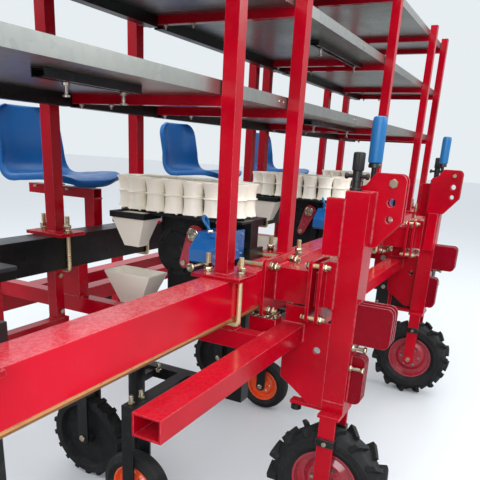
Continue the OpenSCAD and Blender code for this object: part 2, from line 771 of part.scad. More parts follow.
// Moulded bucket seat, open to the front and the top
module seat() {
  w = seat_width / 2;
  d = seat_depth;
  h = seat_height;
  t = seat_wall;
  difference() {
    intersection() {
      plate_yz([-w, w]) {
        polygon([[0, 20], [20, 0], [d - 90, 0], [d - 30, 40], [d, h - 20], [d - 20, h], [d - 45, h - 6],
          [d - 120, 110], [d - 160, 82], [40, 66], [0, 50]]);
        translate([20, 20]) circle(r = 20);
      }
      linear_extrude(height = h) rounded([-w, w], [0, d], 60);
      plate_xz([0, d]) {
        rounded([-w, w], [0, 160], 30);
        rounded([-w + 25, w - 25], [80, h], 60);
      }
    }
    plate_yz([-w + t + 12, w - t - 12])
      polygon([[-over, h + over], [-over, 50], [30, t + 12], [d - 100, t], [d - 42, 50], [d - 12, h + over]]);
  }
}

seat_y = 50;
seat_z = 1210;

module seats() {
  color(blue) for (x = unit_xs) translate([x, seat_y, seat_z]) seat();
}

// Bracket on the rear beam's rear face, upright and arm under each seat
module seat_brackets() {
  y = rear_beam_rear;
  color(red) for (x = unit_xs) {
    block([x - 30, x + 30], [y, y + 12], [rear_beam_z + 6, rear_beam_top - 7]);
    block([x - 25, x + 25], [y + 12, y + 90], [975, 1025]);
    tube_z([x - 25, x + 25], [y + 40, y + 90], [1025, seat_z - 40], 4);
    tube_y([x - 25, x + 25], [y + 40, seat_y + 380], [seat_z - 40, seat_z], 4);
  }
}

// Two posts under the rear beam and a step bar between them, left of each unit
module footrests() {
  y = rear_beam_y - 40;
  color(red) for (u = unit_xs) {
    for (x = [u - 640, u - 365])
      tube_z([x - 20, x + 20], [y, y + 40], [760, rear_beam_z], 4);
    tube_x([u - 680, u - 325], [y, y + 40], [720, 760], 4);
  }
}

// Steered fork round a front wheel with its king pin, axle bolt and steering arm
module fork() {
  gap = tyre_width / 2 + 12;
  crown = leg_bottom - side_gap;
  for (s = sides) {
    x = [min(s * gap, s * (gap + 12)), max(s * gap, s * (gap + 12))];
    block(x, [-30, 30], [wheel_radius, crown - 12]);
    plate_yz(x) translate([0, wheel_radius]) circle(r = 34);
    translate([s * (gap + 12), 0, wheel_radius]) rotate([0, s * 90, 0]) hex(10, 30);
    block([s * (gap + 6) - 14, s * (gap + 6) + 14], [-34, 34], [400, 430]);
  }
  block([-gap - 12, gap + 12], [-40, 40], [crown - 12, crown]);
  rod_z(0, 0, [crown, crown + 100], king_pin_r);
  rod_x([-gap - 6, gap + 6], 0, wheel_radius, front_axle_r);
  block([-20, 20], [40, 170], [crown - 12, crown]);
  rod_z(0, tie_arm, [crown - 41, crown - 12], tie_pin_r);
}

tie_arm = 150;
tie_pin_r = 8;

module fork_left() {
  color(red) translate([left_leg_x, front_wheel_y, 0]) fork();
}

module fork_right() {
  color(red) translate([left_leg_x + front_track, front_wheel_y, 0]) fork();
}

// Rod between the two steering arms with an eye at each end
module tie_rod() {
  z = leg_bottom - side_gap - 27;
  color(black) translate([chassis_mid, front_wheel_y + tie_arm, z]) difference() {
    union() {
      rod_x([-front_track / 2, front_track / 2], 0, 0, 9);
      for (s = sides) rod_z(s * front_track / 2, 0, [-10, 10], 20);
    }
    rod_z(-front_track / 2, 0, [-20, 20], tie_pin_r + bearing_play);
    rod_z(front_track / 2, 0, [-20, 20], tie_pin_r + 1);
  }
}

// Tyre body standing in the YZ plane round the origin, r at the foot of its lugs
module tyre(r, bore, width) {
  rotate([0, 90, 0]) rotate_extrude() polygon([
    [bore, -width * 0.36], [bore + 20, -width / 2], [r - 30, -width / 2], [r - 6, -width * 0.36],
    [r, -width * 0.2], [r, width * 0.2], [r - 6, width * 0.36], [r - 30, width / 2],
    [bore + 20, width / 2], [bore, width * 0.36]]);
}

// Slanted bars on both halves of a tread, staggered, cut to the tyre's outer circle
module chevron_lugs(r, width, height, count, lean) {
  thick = 15;
  intersection() {
    rotate([0, 90, 0]) cylinder(h = width, r = r, center = true);
    for (i = [0:count - 1], s = sides) rotate([(i + (s < 0 ? 0.5 : 0)) * 360 / count, 0, 0])
      translate([0, 0, r - height - 22]) rotate([0, 0, s * lean])
      translate([min(0, s * width), -thick / 2, 0]) cube([width, thick, height + 30]);
  }
}

module road_tyre(x, y) {
  color(rubber) translate([x, y, wheel_radius]) {
    tyre(tread_radius, rim_radius, tyre_width);
    chevron_lugs(wheel_radius, tyre_width, lug_height, lug_count, 35);
  }
}

// Dished rim with its hub
module rim(bore, seat, hub, hub_half, half) {
  difference() {
    rotate([0, 90, 0]) rotate_extrude() polygon([
      [bore, -hub_half], [hub, -hub_half], [hub, -16], [seat * 0.55, -16], [seat * 0.72, -3],
      [seat - 9, -3], [seat - 7, -half], [seat, -half], [seat, half], [seat - 7, half],
      [seat - 9, 3], [seat * 0.72, 3], [seat * 0.55, -10], [hub, -10], [hub, hub_half],
      [bore, hub_half]]);
    for (a = [0:60:300]) rotate([a, 0, 0]) rod_x([-60, 60], seat * 0.42, 0, 6);
  }
}

module road_rim(x, y, axle) {
  color([0.55, 0.1, 0.16]) translate([x, y, wheel_radius])
    rim(axle + bearing_play, rim_radius, 35, tyre_width / 2 + 10, tyre_width * 0.36);
}

module tyre_front_left() { road_tyre(left_leg_x, front_wheel_y); }
module tyre_front_right() { road_tyre(left_leg_x + front_track, front_wheel_y); }
module tyre_rear_left() { road_tyre(chassis_mid - rear_track / 2, rear_wheel_y); }
module tyre_rear_right() { road_tyre(chassis_mid + rear_track / 2, rear_wheel_y); }
module rim_front_left() { road_rim(left_leg_x, front_wheel_y, front_axle_r); }
module rim_front_right() { road_rim(left_leg_x + front_track, front_wheel_y, front_axle_r); }
module rim_rear_left() { road_rim(chassis_mid - rear_track / 2, rear_wheel_y, rear_axle_r); }
module rim_rear_right() { road_rim(chassis_mid + rear_track / 2, rear_wheel_y, rear_axle_r); }

// Lugged press wheel of unit i
module press_wheel(i) {
  r = press_radius - 12;
  w = press_width / 2;
  bore = unit_axle_r + bearing_play;
  color(rubber) translate([unit_xs[i] + press_x, press_y, press_radius]) {
    rotate([0, 90, 0]) rotate_extrude()
      polygon([[bore, -w], [32, -w], [32, -5], [r - 40, -5], [r - 30, -w], [r, -w],
        [r, w], [r - 30, w], [r - 40, 5], [32, 5], [32, w], [bore, w]]);
    intersection() {
      rotate([0, 90, 0]) cylinder(h = press_width, r = press_radius, center = true);
      for (a = [0:20:340]) rotate([a, 0, 0]) translate([-w, -10, r - 8]) cube([2 * w, 20, 30]);
    }
  }
}

module gauge_tyre(i) {
  color(rubber) translate([unit_xs[i] + gauge_x, gauge_y, gauge_radius])
    tyre(gauge_radius, gauge_radius - 50, gauge_width);
}

module gauge_rim(i) {
  color(orange) translate([unit_xs[i] + gauge_x, gauge_y, gauge_radius])
    rim(unit_axle_r + bearing_play, gauge_radius - 50, 28, gauge_width / 2 + 4, gauge_width * 0.36);
}

front_beam();
rear_beam();
drive_shaft();
chassis();
front_legs();
rear_legs();
rack_posts();
rack_bearers();
shelf_rails();
shelf(0);  // shelf_lower
shelf(1);  // shelf_middle
shelf(2);  // shelf_upper
u_bolts();
leg_plates();
lever_grips();
jack_heads();
chain_cases();
drive_chains();
engine();
engine_cap();
planter_frames();
cup_chains();
seedling_cups();
drop_funnels();
crank_arms();
drive_boxes();
seats();
seat_brackets();
footrests();
fork_left();
fork_right();
tie_rod();
tyre_front_left();
tyre_front_right();
tyre_rear_left();
tyre_rear_right();
rim_front_left();
rim_front_right();
rim_rear_left();
rim_rear_right();
press_wheel(0);  // press_wheel_1
press_wheel(1);  // press_wheel_2
press_wheel(2);  // press_wheel_3
press_wheel(3);  // press_wheel_4
gauge_tyre(0);  // gauge_tyre_1
gauge_tyre(1);  // gauge_tyre_2
gauge_tyre(2);  // gauge_tyre_3
gauge_tyre(3);  // gauge_tyre_4
gauge_rim(0);  // gauge_rim_1
gauge_rim(1);  // gauge_rim_2
gauge_rim(2);  // gauge_rim_3
gauge_rim(3);  // gauge_rim_4
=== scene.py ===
from math import atan2, cos, degrees, hypot, pi, radians, sin, sqrt

import bpy
from mathutils import Matrix, Vector


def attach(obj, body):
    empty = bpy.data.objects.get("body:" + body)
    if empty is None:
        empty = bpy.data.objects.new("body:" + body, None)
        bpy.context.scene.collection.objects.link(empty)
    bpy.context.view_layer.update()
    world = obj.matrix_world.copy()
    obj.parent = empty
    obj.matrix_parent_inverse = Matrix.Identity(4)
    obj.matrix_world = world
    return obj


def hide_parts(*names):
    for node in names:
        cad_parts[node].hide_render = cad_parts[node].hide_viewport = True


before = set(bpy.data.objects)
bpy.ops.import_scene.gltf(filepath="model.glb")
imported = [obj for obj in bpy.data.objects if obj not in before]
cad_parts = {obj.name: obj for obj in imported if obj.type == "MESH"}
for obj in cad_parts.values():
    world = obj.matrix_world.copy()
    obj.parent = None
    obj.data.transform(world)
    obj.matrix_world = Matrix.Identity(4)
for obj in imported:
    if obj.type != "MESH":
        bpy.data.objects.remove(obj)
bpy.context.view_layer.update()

# ---- camera and lamps
# The camera stands where the photograph was taken: beside the left end of the front beam, looking
# along it. A broad lamp hangs overhead, with softer ones behind, in front and on the left.
lamp_aim = Vector((-0.3, -0.4, 1.0))
for name, place, size, watts in (
    ("lamp_overhead", (-0.4, -1.4, 5.6), (9.0, 5.0), 270),
    ("lamp_behind", (-2.5, 4.6, 4.4), (7.0, 3.0), 130),
    ("lamp_front_right", (2.0, -5.4, 3.5), (7.0, 1.4), 125),
    ("lamp_left", (-5.2, -2.4, 2.6), (3.2, 3.0), 150),
):
    lamp = bpy.data.lights.new(name, "AREA")
    lamp.shape = "RECTANGLE"
    lamp.size, lamp.size_y, lamp.energy = size[0], size[1], watts
    stand = bpy.data.objects.new(name, lamp)
    stand.location = place
    stand.rotation_euler = (lamp_aim - Vector(place)).to_track_quat("-Z", "Y").to_euler()
    bpy.context.collection.objects.link(stand)

view = bpy.data.cameras.new("camera")
view.sensor_width = 36
view.lens = 41.12
view.shift_x, view.shift_y = 0.0085, 0.198
view.clip_start, view.clip_end = 0.02, 200
eye = bpy.data.objects.new("camera", view)
right = Vector((0.469356, -0.88144536, 0.05252642))
up = Vector((0.26115819, 0.19539508, 0.94531326))
back = Vector((-0.84350539, -0.42997075, 0.32190653))
eye_place = (-2.4, -1.55, 1.4)
eye.matrix_world = Matrix.Translation(eye_place) @ Matrix((right, up, back)).transposed().to_4x4()
bpy.context.collection.objects.link(eye)
bpy.context.scene.camera = eye
bpy.context.scene.view_settings.view_transform = "Standard"

# ---- floor and sky
# A plain pale floor under soft daylight from all round. Both look paler to the camera than the
# light that they give to the machine.


def feed(tree, socket, value):
    """The socket is linked to another one or set to a plain value"""
    if isinstance(value, bpy.types.NodeSocket):
        tree.links.new(value, socket)
    else:
        socket.default_value = value


def fed(tree, node, **inputs):
    """A node, new where its kind is given, with its named inputs fed"""
    if isinstance(node, str):
        node = tree.nodes.new("ShaderNode" + node)
    for label, value in inputs.items():
        feed(tree, node.inputs[label.replace("_", " ")], value)
    return node


def spread(tree, value, low, high, to_low, to_high):
    """Map Range: value from low..high to to_low..to_high"""
    return fed(tree, "MapRange", Value=value, From_Min=low, From_Max=high, To_Min=to_low,
               To_Max=to_high).outputs["Result"]


def sums(tree, kind, a, b):
    """Math node on two sockets or plain numbers"""
    made = fed(tree, "Math")
    made.operation = kind
    feed(tree, made.inputs[0], a)
    feed(tree, made.inputs[1], b)
    return made.outputs[0]


def mixed(tree, share, a, b):
    """Mix Color; share, a and b are sockets or plain values"""
    made = fed(tree, "Mix")
    made.data_type = "RGBA"
    for label, value in (("Factor_Float", share), ("A_Color", a), ("B_Color", b)):
        socket = next(s for s in made.inputs if s.identifier == label)
        feed(tree, socket, (*value, 1) if isinstance(value, tuple) else value)
    return next(s for s in made.outputs if s.identifier == "Result_Color")


bpy.ops.mesh.primitive_plane_add(size=80)
floor = bpy.context.object
floor.name = "floor"
floor_paint = bpy.data.materials.new("floor_paint")
floor_paint.use_nodes = True
ground = floor_paint.node_tree
floor_seen = fed(ground, "LightPath").outputs["Is Camera Ray"]
floor_lit, floor_shown = (0.33, 0.335, 0.34), (0.58, 0.61, 0.63)
fed(ground, ground.nodes["Principled BSDF"], Base_Color=mixed(ground, floor_seen, floor_lit, floor_shown),
    Roughness=0.4)
floor.data.materials.append(floor_paint)

world = bpy.data.worlds.new("soft_daylight")
bpy.context.scene.world = world
world.use_nodes = True
sky = world.node_tree
sky_way = fed(sky, "SeparateXYZ", Vector=fed(sky, "TexCoord").outputs["Generated"])
sky_level = sums(sky, "MULTIPLY", spread(sky, sky_way.outputs["Z"], -0.05, 0.5, 0.34, 1.28),
                 spread(sky, sky_way.outputs["X"], -0.9, 0.9, 1.0, 0.98))
sky_lamp = fed(sky, sky.nodes["Background"], Color=(0.93, 0.96, 1, 1), Strength=sky_level)
sky_shown = fed(sky, "Background", Color=(0.8, 0.85, 0.88, 1), Strength=1.0)
sky_seen = fed(sky, "LightPath").outputs["Is Camera Ray"]
sky_pick = fed(sky, "MixShader")
for source, socket in zip((sky_seen, sky_lamp.outputs[0], sky_shown.outputs[0]), sky_pick.inputs):
    sky.links.new(source, socket)
sky.links.new(sky_pick.outputs[0], sky.nodes["World Output"].inputs[0])

# ---- front beam and painted steel
# The front beam is a rectangular steel tube, sprayed with glossy bright red enamel. The film
# has a fine orange peel, drifts a little in tone and is rubbed thin along its edges, which also
# carry a painted highlight; its upward faces get pale pink patches of dust and painted sheen.


def group(name, inputs, outputs):
    """Empty shader group with named sockets, given as (kind, name)"""
    made = bpy.data.node_groups.new(name, "ShaderNodeTree")
    for way, sockets in (("INPUT", inputs), ("OUTPUT", outputs)):
        for kind, label in sockets:
            made.interface.new_socket(label, in_out=way, socket_type="NodeSocket" + kind)
    return made, made.nodes.new("NodeGroupInput"), made.nodes.new("NodeGroupOutput")


def noise(tree, place, scale, detail=3.0, rough=0.5):
    """Noise at a place, its scale in lumps a metre"""
    return fed(tree, "TexNoise", Vector=place, Scale=scale, Detail=detail, Roughness=rough).outputs["Fac"]


def drift(tree, place, scale, detail=3.0, rough=0.5):
    """Slow change over the surface, 0 to 1"""
    return spread(tree, noise(tree, place, scale, detail, rough), 0.35, 0.65, 0, 1)


film, film_in, film_out = group(
    "sprayed_film",
    (("Vector", "Place"), ("Color", "Light tone"), ("Color", "Deep tone"), ("Float", "Gloss"),
     ("Float", "Dust")),
    (("Color", "Colour"), ("Float", "Roughness"), ("Float", "Height")))
film_place = film_in.outputs["Place"]
film_tone = mixed(film, drift(film, film_place, 2.6, 4), film_in.outputs["Deep tone"],
                  film_in.outputs["Light tone"])
film_dust = spread(film, noise(film, film_place, 31, 6, 0.65), 0.52, 0.78, 0, 1)
film_dust = sums(film, "MULTIPLY", film_dust, film_in.outputs["Dust"])
grey_dust = (0.55, 0.5, 0.46)
film_smear = spread(film, noise(film, film_place, 7, 5), 0.3, 0.7, -0.05, 0.08)
film_matt = sums(film, "ADD", sums(film, "ADD", film_smear, film_in.outputs["Gloss"]), film_dust)
orange_peel = noise(film, film_place, 160, 2)
fed(film, film_out, Colour=mixed(film, film_dust, film_tone, grey_dust), Roughness=film_matt,
    Height=orange_peel)

# Edge mask: the enamel's edges take another tone, partly rubbed wear and partly painted highlight. The chips
# never drop below 0.3, so the edge stays lighter all along.
edge_wear_and_highlight, edge_wear_and_highlight_in, edge_wear_and_highlight_out = group(
    "rubbed_and_highlit_edges",
    (("Vector", "Place"), ("Vector", "Rounded"), ("Vector", "Flat"), ("Float", "Amount")),
    (("Float", "Mask"),))
edge_dot = fed(edge_wear_and_highlight, "VectorMath")
edge_dot.operation = "DOT_PRODUCT"
edge_wear_and_highlight.links.new(edge_wear_and_highlight_in.outputs["Rounded"], edge_dot.inputs[0])
edge_wear_and_highlight.links.new(edge_wear_and_highlight_in.outputs["Flat"], edge_dot.inputs[1])
edge_band = spread(edge_wear_and_highlight, edge_dot.outputs["Value"], 0.995, 0.8, 0, 1)
wear_chips_and_highlight = spread(edge_wear_and_highlight, noise(edge_wear_and_highlight, edge_wear_and_highlight_in.outputs["Place"], 46, 5, 0.7), 0.42, 0.62, 0.3, 1)
wear_and_highlight_mask = sums(edge_wear_and_highlight, "MULTIPLY", sums(edge_wear_and_highlight, "MULTIPLY", edge_band, wear_chips_and_highlight), edge_wear_and_highlight_in.outputs["Amount"])
fed(edge_wear_and_highlight, edge_wear_and_highlight_out, Mask=wear_and_highlight_mask)


def bare_material(name, metallic=0.0, coat=0.0, coat_rough=0.05):
    """Material with its tree, shader and object place; the plain numbers sit on the shader"""
    made = bpy.data.materials.new(name)
    made.use_nodes = True
    tree = made.node_tree
    shader = fed(tree, tree.nodes["Principled BSDF"], Metallic=metallic, Coat_Weight=coat,
                 Coat_Roughness=coat_rough)
    return made, tree, shader, fed(tree, "TexCoord").outputs["Object"]


def relief(tree, shader, height, depth, rounded=None):
    """Bump of the given depth in metres on the shader"""
    made = fed(tree, "Bump", Strength=1.0, Distance=depth, Height=height)
    if rounded:
        fed(tree, made, Normal=rounded)
    fed(tree, shader, Normal=made.outputs["Normal"])


def rounded_edge(tree, radius):
    """Normal of the surface as if its edges had this radius"""
    made = fed(tree, "Bevel", Radius=radius)
    made.samples = 4
    return made.outputs["Normal"]


def placed_group(tree, source, **inputs):
    """The shader group placed in a material with this material's own values"""
    made = fed(tree, "Group")
    made.node_tree = source
    return fed(tree, made, **inputs).outputs


# Pale pink patches on upward faces: settled dust and painted sheen from the bright ceiling.
pink_dust_and_sheen = (0.8, 0.62, 0.66)
peel_depth = 0.00025


def enamel(name, light, deep, gloss=0.2, dust=0.1, wear_and_highlight_amount=0.5, worn_and_lit_edge_tone=(0.3, 0.25, 0.24), edge=0.0022,
           coat=0.5, shine=0.5, top_dust_and_sheen=0.0):
    """Sprayed enamel: tone, dust and peel from the film group, edges rounded, rubbed and lighter as painted
    highlight, upward faces with pale dust and painted sheen
    """
    made, tree, shader, place = bare_material(name, coat=coat)
    coat_film = placed_group(tree, film, Place=place, Light_tone=(*light, 1), Deep_tone=(*deep, 1),
                             Gloss=gloss, Dust=dust)
    corner = rounded_edge(tree, edge)
    flat = fed(tree, "NewGeometry").outputs["True Normal"]
    # The edge mask mixes in the edge tone: rubbed wear and painted highlight.
    worn = placed_group(tree, edge_wear_and_highlight, Place=place, Rounded=corner, Flat=flat, Amount=wear_and_highlight_amount)
    facing = fed(tree, "SeparateXYZ", Vector=flat)
    # Upward faces take the pale pink patches: dust and painted sheen.
    dust_and_sheen_on_top = sums(tree, "MULTIPLY", spread(tree, facing.outputs["Z"], 0.85, 1.0, 0, top_dust_and_sheen),
                  spread(tree, noise(tree, place, 90, 8, 0.8), 0.42, 0.6, 0.1, 1.0))
    dusted_and_sheened = mixed(tree, dust_and_sheen_on_top, coat_film["Colour"], pink_dust_and_sheen)
    fed(tree, shader, Base_Color=mixed(tree, worn["Mask"], dusted_and_sheened, worn_and_lit_edge_tone), Roughness=coat_film["Roughness"],
        Specular_IOR_Level=shine)
    relief(tree, shader, coat_film["Height"], peel_depth, corner)
    return made


def finish_node(paint, *nodes):
    """A carried-over CAD node gets its real finish"""
    for n in nodes:
        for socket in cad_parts[n].material_slots:
            socket.material = paint


# The pale pink edge tones of the red enamels are painted highlight as well as rubbed paint.
red_enamel = enamel("red_enamel", (0.5, 0.0004, 0.014), (0.33, 0.0002, 0.008), gloss=0.17, dust=0.012,
                    wear_and_highlight_amount=0.7, worn_and_lit_edge_tone=(0.85, 0.24, 0.28), edge=0.003, coat=0.08, shine=0.18, top_dust_and_sheen=0.02)
# The beam's upward faces get most of the pale pink patches: dust and painted sheen.
beam_enamel = enamel("beam_enamel", (0.6, 0.0004, 0.018), (0.46, 0.0003, 0.012), gloss=0.17, dust=0.012,
                     wear_and_highlight_amount=0.8, worn_and_lit_edge_tone=(0.85, 0.28, 0.32), edge=0.003, coat=0.08, shine=0.2, top_dust_and_sheen=0.17)
# A darker copy of the red enamel for the leg plates: painted shade, as they stand in shadow.
shaded_red = enamel("shaded_red_enamel", (0.235, 0.0002, 0.009), (0.165, 0.0001, 0.0058), gloss=0.2, dust=0.01,
                  wear_and_highlight_amount=0.9, worn_and_lit_edge_tone=(0.85, 0.28, 0.33), edge=0.003, coat=0.0, shine=0.15, top_dust_and_sheen=0.02)
finish_node(beam_enamel, "front_beam")

# ---- rear beam
# The rear beam is the same tube in black satin enamel, which also covers the rack's rear
# tubes, the cup conveyors' ironwork and the tie rod.
# Grey on the black enamels' edges: primer rubbed through, and painted highlight.
primer_and_edge_highlight = (0.14, 0.13, 0.13)
black_enamel = enamel("black_enamel", (0.0065, 0.0085, 0.0095), (0.0035, 0.005, 0.0055), gloss=0.3,
                      dust=0.025, wear_and_highlight_amount=0.45, worn_and_lit_edge_tone=primer_and_edge_highlight, coat=0.05, shine=0.3)
finish_node(black_enamel, "rear_beam", "shelf_rails", "cup_chains", "tie_rod")

# ---- drive shaft
# One hexagon bar of bright drawn steel, oiled, with a brown film that is streaked along its
# length where it was drawn and stored.
brown_bar, bar_tree, bar_shader, bar_place = bare_material("brown_bar", metallic=0.55)
drawn_along_x = (2.5, 90, 90)
bar_run = fed(bar_tree, "Mapping", Vector=bar_place, Scale=drawn_along_x)
bar_streak = drift(bar_tree, bar_run.outputs["Vector"], 1, 5)
bar_spots = spread(bar_tree, noise(bar_tree, bar_place, 24, 6, 0.7), 0.56, 0.7, 0, 0.7)
bar_tone = mixed(bar_tree, bar_streak, (0.3, 0.12, 0.036), (0.52, 0.24, 0.08))
fed(bar_tree, bar_shader, Base_Color=mixed(bar_tree, bar_spots, bar_tone, (0.16, 0.06, 0.025)),
    Roughness=spread(bar_tree, bar_streak, 0, 1, 0.34, 0.5))
relief(bar_tree, bar_shader, bar_streak, 0.0001)
finish_node(brown_bar, "drive_shaft")

# ---- U-bolts and leg bolts
# Bent round bars, yellow passivated, that hold the uprights and the front legs to the beams.
# Each leg has a washer and two nuts, and its rolled thread stands out of them.


def metal(name, light, deep, smooth, worn, scale=30.0, metallic=1.0, lines=0.00004):
    """Bare or plated metal: two tones that drift, and a smoothness that follows them"""
    made, tree, shader, place = bare_material(name, metallic=metallic)
    cloud = drift(tree, place, scale, 5, 0.6)
    fed(tree, shader, Base_Color=mixed(tree, cloud, light, deep),
        Roughness=spread(tree, cloud, 0, 1, smooth, worn))
    relief(tree, shader, noise(tree, place, 420, 2), lines)
    return made


yellow_zinc = metal("yellow_zinc", (0.84, 0.71, 0.43), (0.74, 0.61, 0.36), 0.24, 0.32, 14, metallic=0.75,
                    lines=0.00001)
bright_zinc = metal("bright_zinc", (0.56, 0.5, 0.37), (0.36, 0.32, 0.23), 0.2, 0.34)


def mode(kind):
    """The active object goes to this mode"""
    bpy.ops.object.mode_set(mode=kind)


def bare():
    """Nothing selected and no mode open"""
    if bpy.context.object and bpy.context.object.mode != "OBJECT":
        mode("OBJECT")
    bpy.ops.object.select_all(action="DESELECT")


def picked(*parts):
    """These parts alone selected, the first one active"""
    bare()
    for part in parts:
        part.select_set(True)
    bpy.context.view_layer.objects.active = parts[0]


def seated():
    """The active object's place goes into its mesh"""
    made = bpy.context.object
    bpy.ops.object.transform_apply(location=True, rotation=True, scale=True)
    return made


def applied(made, kind, **settings):
    """One modifier, set and applied"""
    bpy.context.view_layer.objects.active = made
    step = made.modifiers.new(kind.title(), kind)
    for label, value in settings.items():
        setattr(step, label, value)
    bpy.ops.object.modifier_apply(modifier=step.name)
    return made


def turned(rings, sides=24):
    """Turned piece about Z: a disc extruded and scaled ring by ring, given as (radius, height)"""
    bare()
    r, z = rings[0]
    bpy.ops.mesh.primitive_circle_add(vertices=sides, radius=r, fill_type="NGON", location=(0, 0, z))
    mode("EDIT")
    bpy.ops.mesh.select_all(action="SELECT")
    for r2, z2 in rings[1:]:
        bpy.ops.mesh.extrude_region_move(TRANSFORM_OT_translate={"value": (0, 0, z2 - z)})
        bpy.ops.transform.resize(value=(r2 / r, r2 / r, 1), center_override=(0, 0, 0))
        r, z = r2, z2
    bpy.ops.mesh.select_all(action="SELECT")
    bpy.ops.mesh.normals_make_consistent(inside=False)
    mode("OBJECT")
    return seated()


def arrayed(made, count, step):
    """The part repeated along a line"""
    return applied(made, "ARRAY", count=count, use_relative_offset=False, use_constant_offset=True,
                   constant_offset_displace=step)


def to(x, y, z, way="Z", turn=0.0):
    """Place that turns a piece's Z to the given way"""
    tilt, axis = {"Z": (0, "X"), "-Z": (pi, "X"), "Y": (-pi / 2, "X"), "-Y": (pi / 2, "X"),
                  "X": (pi / 2, "Y"), "-X": (-pi / 2, "Y")}[way]
    return Matrix.Translation((x, y, z)) @ Matrix.Rotation(tilt, 4, axis) @ Matrix.Rotation(turn, 4, "Z")


def copies(model, places):
    """The model copied to each place, each copy with its own mesh"""
    made = []
    for place in places:
        one = model.copy()
        one.data = model.data.copy()
        one.data.transform(place)
        bpy.context.collection.objects.link(one)
        made.append(one)
    bpy.data.objects.remove(model)
    return made


def piece(name, parts, paint, body="machine", angle=35):
    """Parts joined into one piece with its finish, on its body"""
    picked(*parts)
    if len(parts) > 1:
        bpy.ops.object.join()
    made = seated()
    bpy.ops.object.shade_smooth_by_angle(angle=radians(angle))
    made.name = name
    made.data.materials.clear()
    made.data.materials.append(paint)
    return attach(made, body)


def pipe(points, radius, sides=12, smooth=0):
    """Round bar or hose along its middle line"""
    line = bpy.data.curves.new("run", "CURVE")
    line.dimensions = "3D"
    run = line.splines.new("NURBS" if smooth else "POLY")
    run.points.add(len(points) - 1)
    for point, place in zip(run.points, points):
        point.co = (*place, 1)
    if smooth:
        run.order_u, run.use_endpoint_u, run.resolution_u = 3, True, smooth
    line.bevel_depth = radius
    line.bevel_resolution = max(0, sides // 4 - 1)
    line.use_fill_caps = True
    made = bpy.data.objects.new("run", line)
    bpy.context.collection.objects.link(made)
    picked(made)
    bpy.ops.object.convert(target="MESH")
    return bpy.context.object


bolt_r, bend = 0.008, 0.0095
front_row, rear_row = -0.74, -0.03
front_posts = (-2.35, -1.88, -0.915, -0.44, 0.81, 1.88, 2.35)
rear_posts = (-2.35, -1.88, -0.915, -0.44, 0.63, 0.81, 1.88, 2.35)
legs = ((-0.61, 1), (0.985, -1))


def u_bar(reach, tall):
    """Bent bar: legs up Z at Y = reach and -reach, the cross bar along Y through the origin"""
    corner = [(0, reach - bend + bend * sin(a), bend - bend * cos(a))
              for a in (pi / 2 * k / 5 for k in range(5, -1, -1))]
    line = [(0, reach, tall)] + corner + [(0, -y, z) for x, y, z in reversed(corner)] + [(0, -reach, tall)]
    return pipe(line, bolt_r, 16)


def nut(flats, height):
    """Hexagon nut or head, its corners chamfered at both ends"""
    r = flats / 2 / cos(pi / 6)
    return turned([(r * 0.9, 0), (r, height * 0.13), (r, height * 0.87), (r * 0.9, height)], 6)


def thread(radius, tall):
    """Rolled thread: one sharp ring arrayed along the end of a bar"""
    pitch = 0.002
    ring = turned([(radius * 0.9, 0), (radius * 1.045, pitch / 2), (radius * 0.9, pitch)], 14)
    return arrayed(ring, max(1, round(tall / pitch)), (0, 0, pitch))


bars, nut_places, washer_places, thread_places, post_threads = [], [], [], [], []
post_reach, clamp_reach, nut_step = 0.0585, 0.0785, 0.013
for posts, y, low, foot in ((front_posts, front_row, 0.8685, 1.029), (rear_posts, rear_row, 0.9405, 1.081)):
    tall = foot + 0.056 - low
    bars += copies(u_bar(post_reach, tall), [to(x, y, low) for x in posts])
    for n, x in enumerate(posts):
        for v in (-1, 1):
            side = y + v * post_reach
            nut_places += [to(x, side, foot + k * nut_step, "Z", 0.3 * n + 0.5 * k + v) for k in (0, 1)]
            washer_places.append(to(x, side, foot))
            post_threads.append(to(x, side, foot + 0.025))
clamps = []
clamp_z, clamp_face = 0.947, -0.802
for x, s in legs:
    for u in (-0.09, 0.09):
        clamps.append(to(x + u, -0.6815, clamp_z, "-Y"))
        for v in (-1, 1):
            z = clamp_z + v * clamp_reach
            nut_places += [to(x + u, clamp_face - k * nut_step, z, "-Y", 0.4 + k * 0.5 + v) for k in (0, 1)]
            washer_places.append(to(x + u, clamp_face, z, "-Y"))
            thread_places.append(to(x + u, -0.827, z, "-Y"))
bars += copies(u_bar(clamp_reach, 0.1545), clamps)
flange_back, flange_front = -0.94, -0.987
for x, s in legs:
    for u in (-0.075, 0.095):
        for z in (0.865, 1.045):
            px = x + s * u
            bars.append(pipe([(px, -1.008, z), (px, -0.922, z)], bolt_r, 16))
            nut_places += [to(px, flange_back, z, "Y", 0.2), to(px, flange_front, z, "-Y", 0.7)]
            washer_places += [to(px, flange_back, z, "Y"), to(px, flange_front, z, "-Y")]
            thread_places += [to(px, -1.0, z, "-Y")]
piece("u_bolt_bars", bars, yellow_zinc, angle=60)
bolts = copies(nut(0.024, 0.012), nut_places)
washer = turned([(0.0152, 0), (0.016, 0.0004), (0.016, 0.0022), (0.015, 0.0026)], 20)
bolts += copies(washer, washer_places)
bolts += copies(thread(bolt_r, 0.012), thread_places) + copies(thread(bolt_r, 0.03), post_threads)
plate_face, lift_y, lift_z = -1.1, -1.15, 1.32
for x, s in legs:
    px = x - s * 0.03
    for z in (0.775, 0.7):
        bolts.append(pipe([(px, plate_face, z), (px, -1.152, z)], 0.006, 12))
        bolts += copies(nut(0.019, 0.01), [to(px, plate_face, z, "-Y", 0.3), to(px, -1.142, z, "-Y", 0.8)])
        bolts += copies(thread(0.006, 0.03), [to(px, -1.111, z, "-Y")])
    bolts.append(pipe([(x + s * 0.0305, lift_y, lift_z), (x + s * 0.099, lift_y, lift_z)], 0.0097, 20))
    bolts += copies(nut(0.026, 0.009), [to(x + s * 0.04, lift_y, lift_z, "-X" if s > 0 else "X", 0.4)])
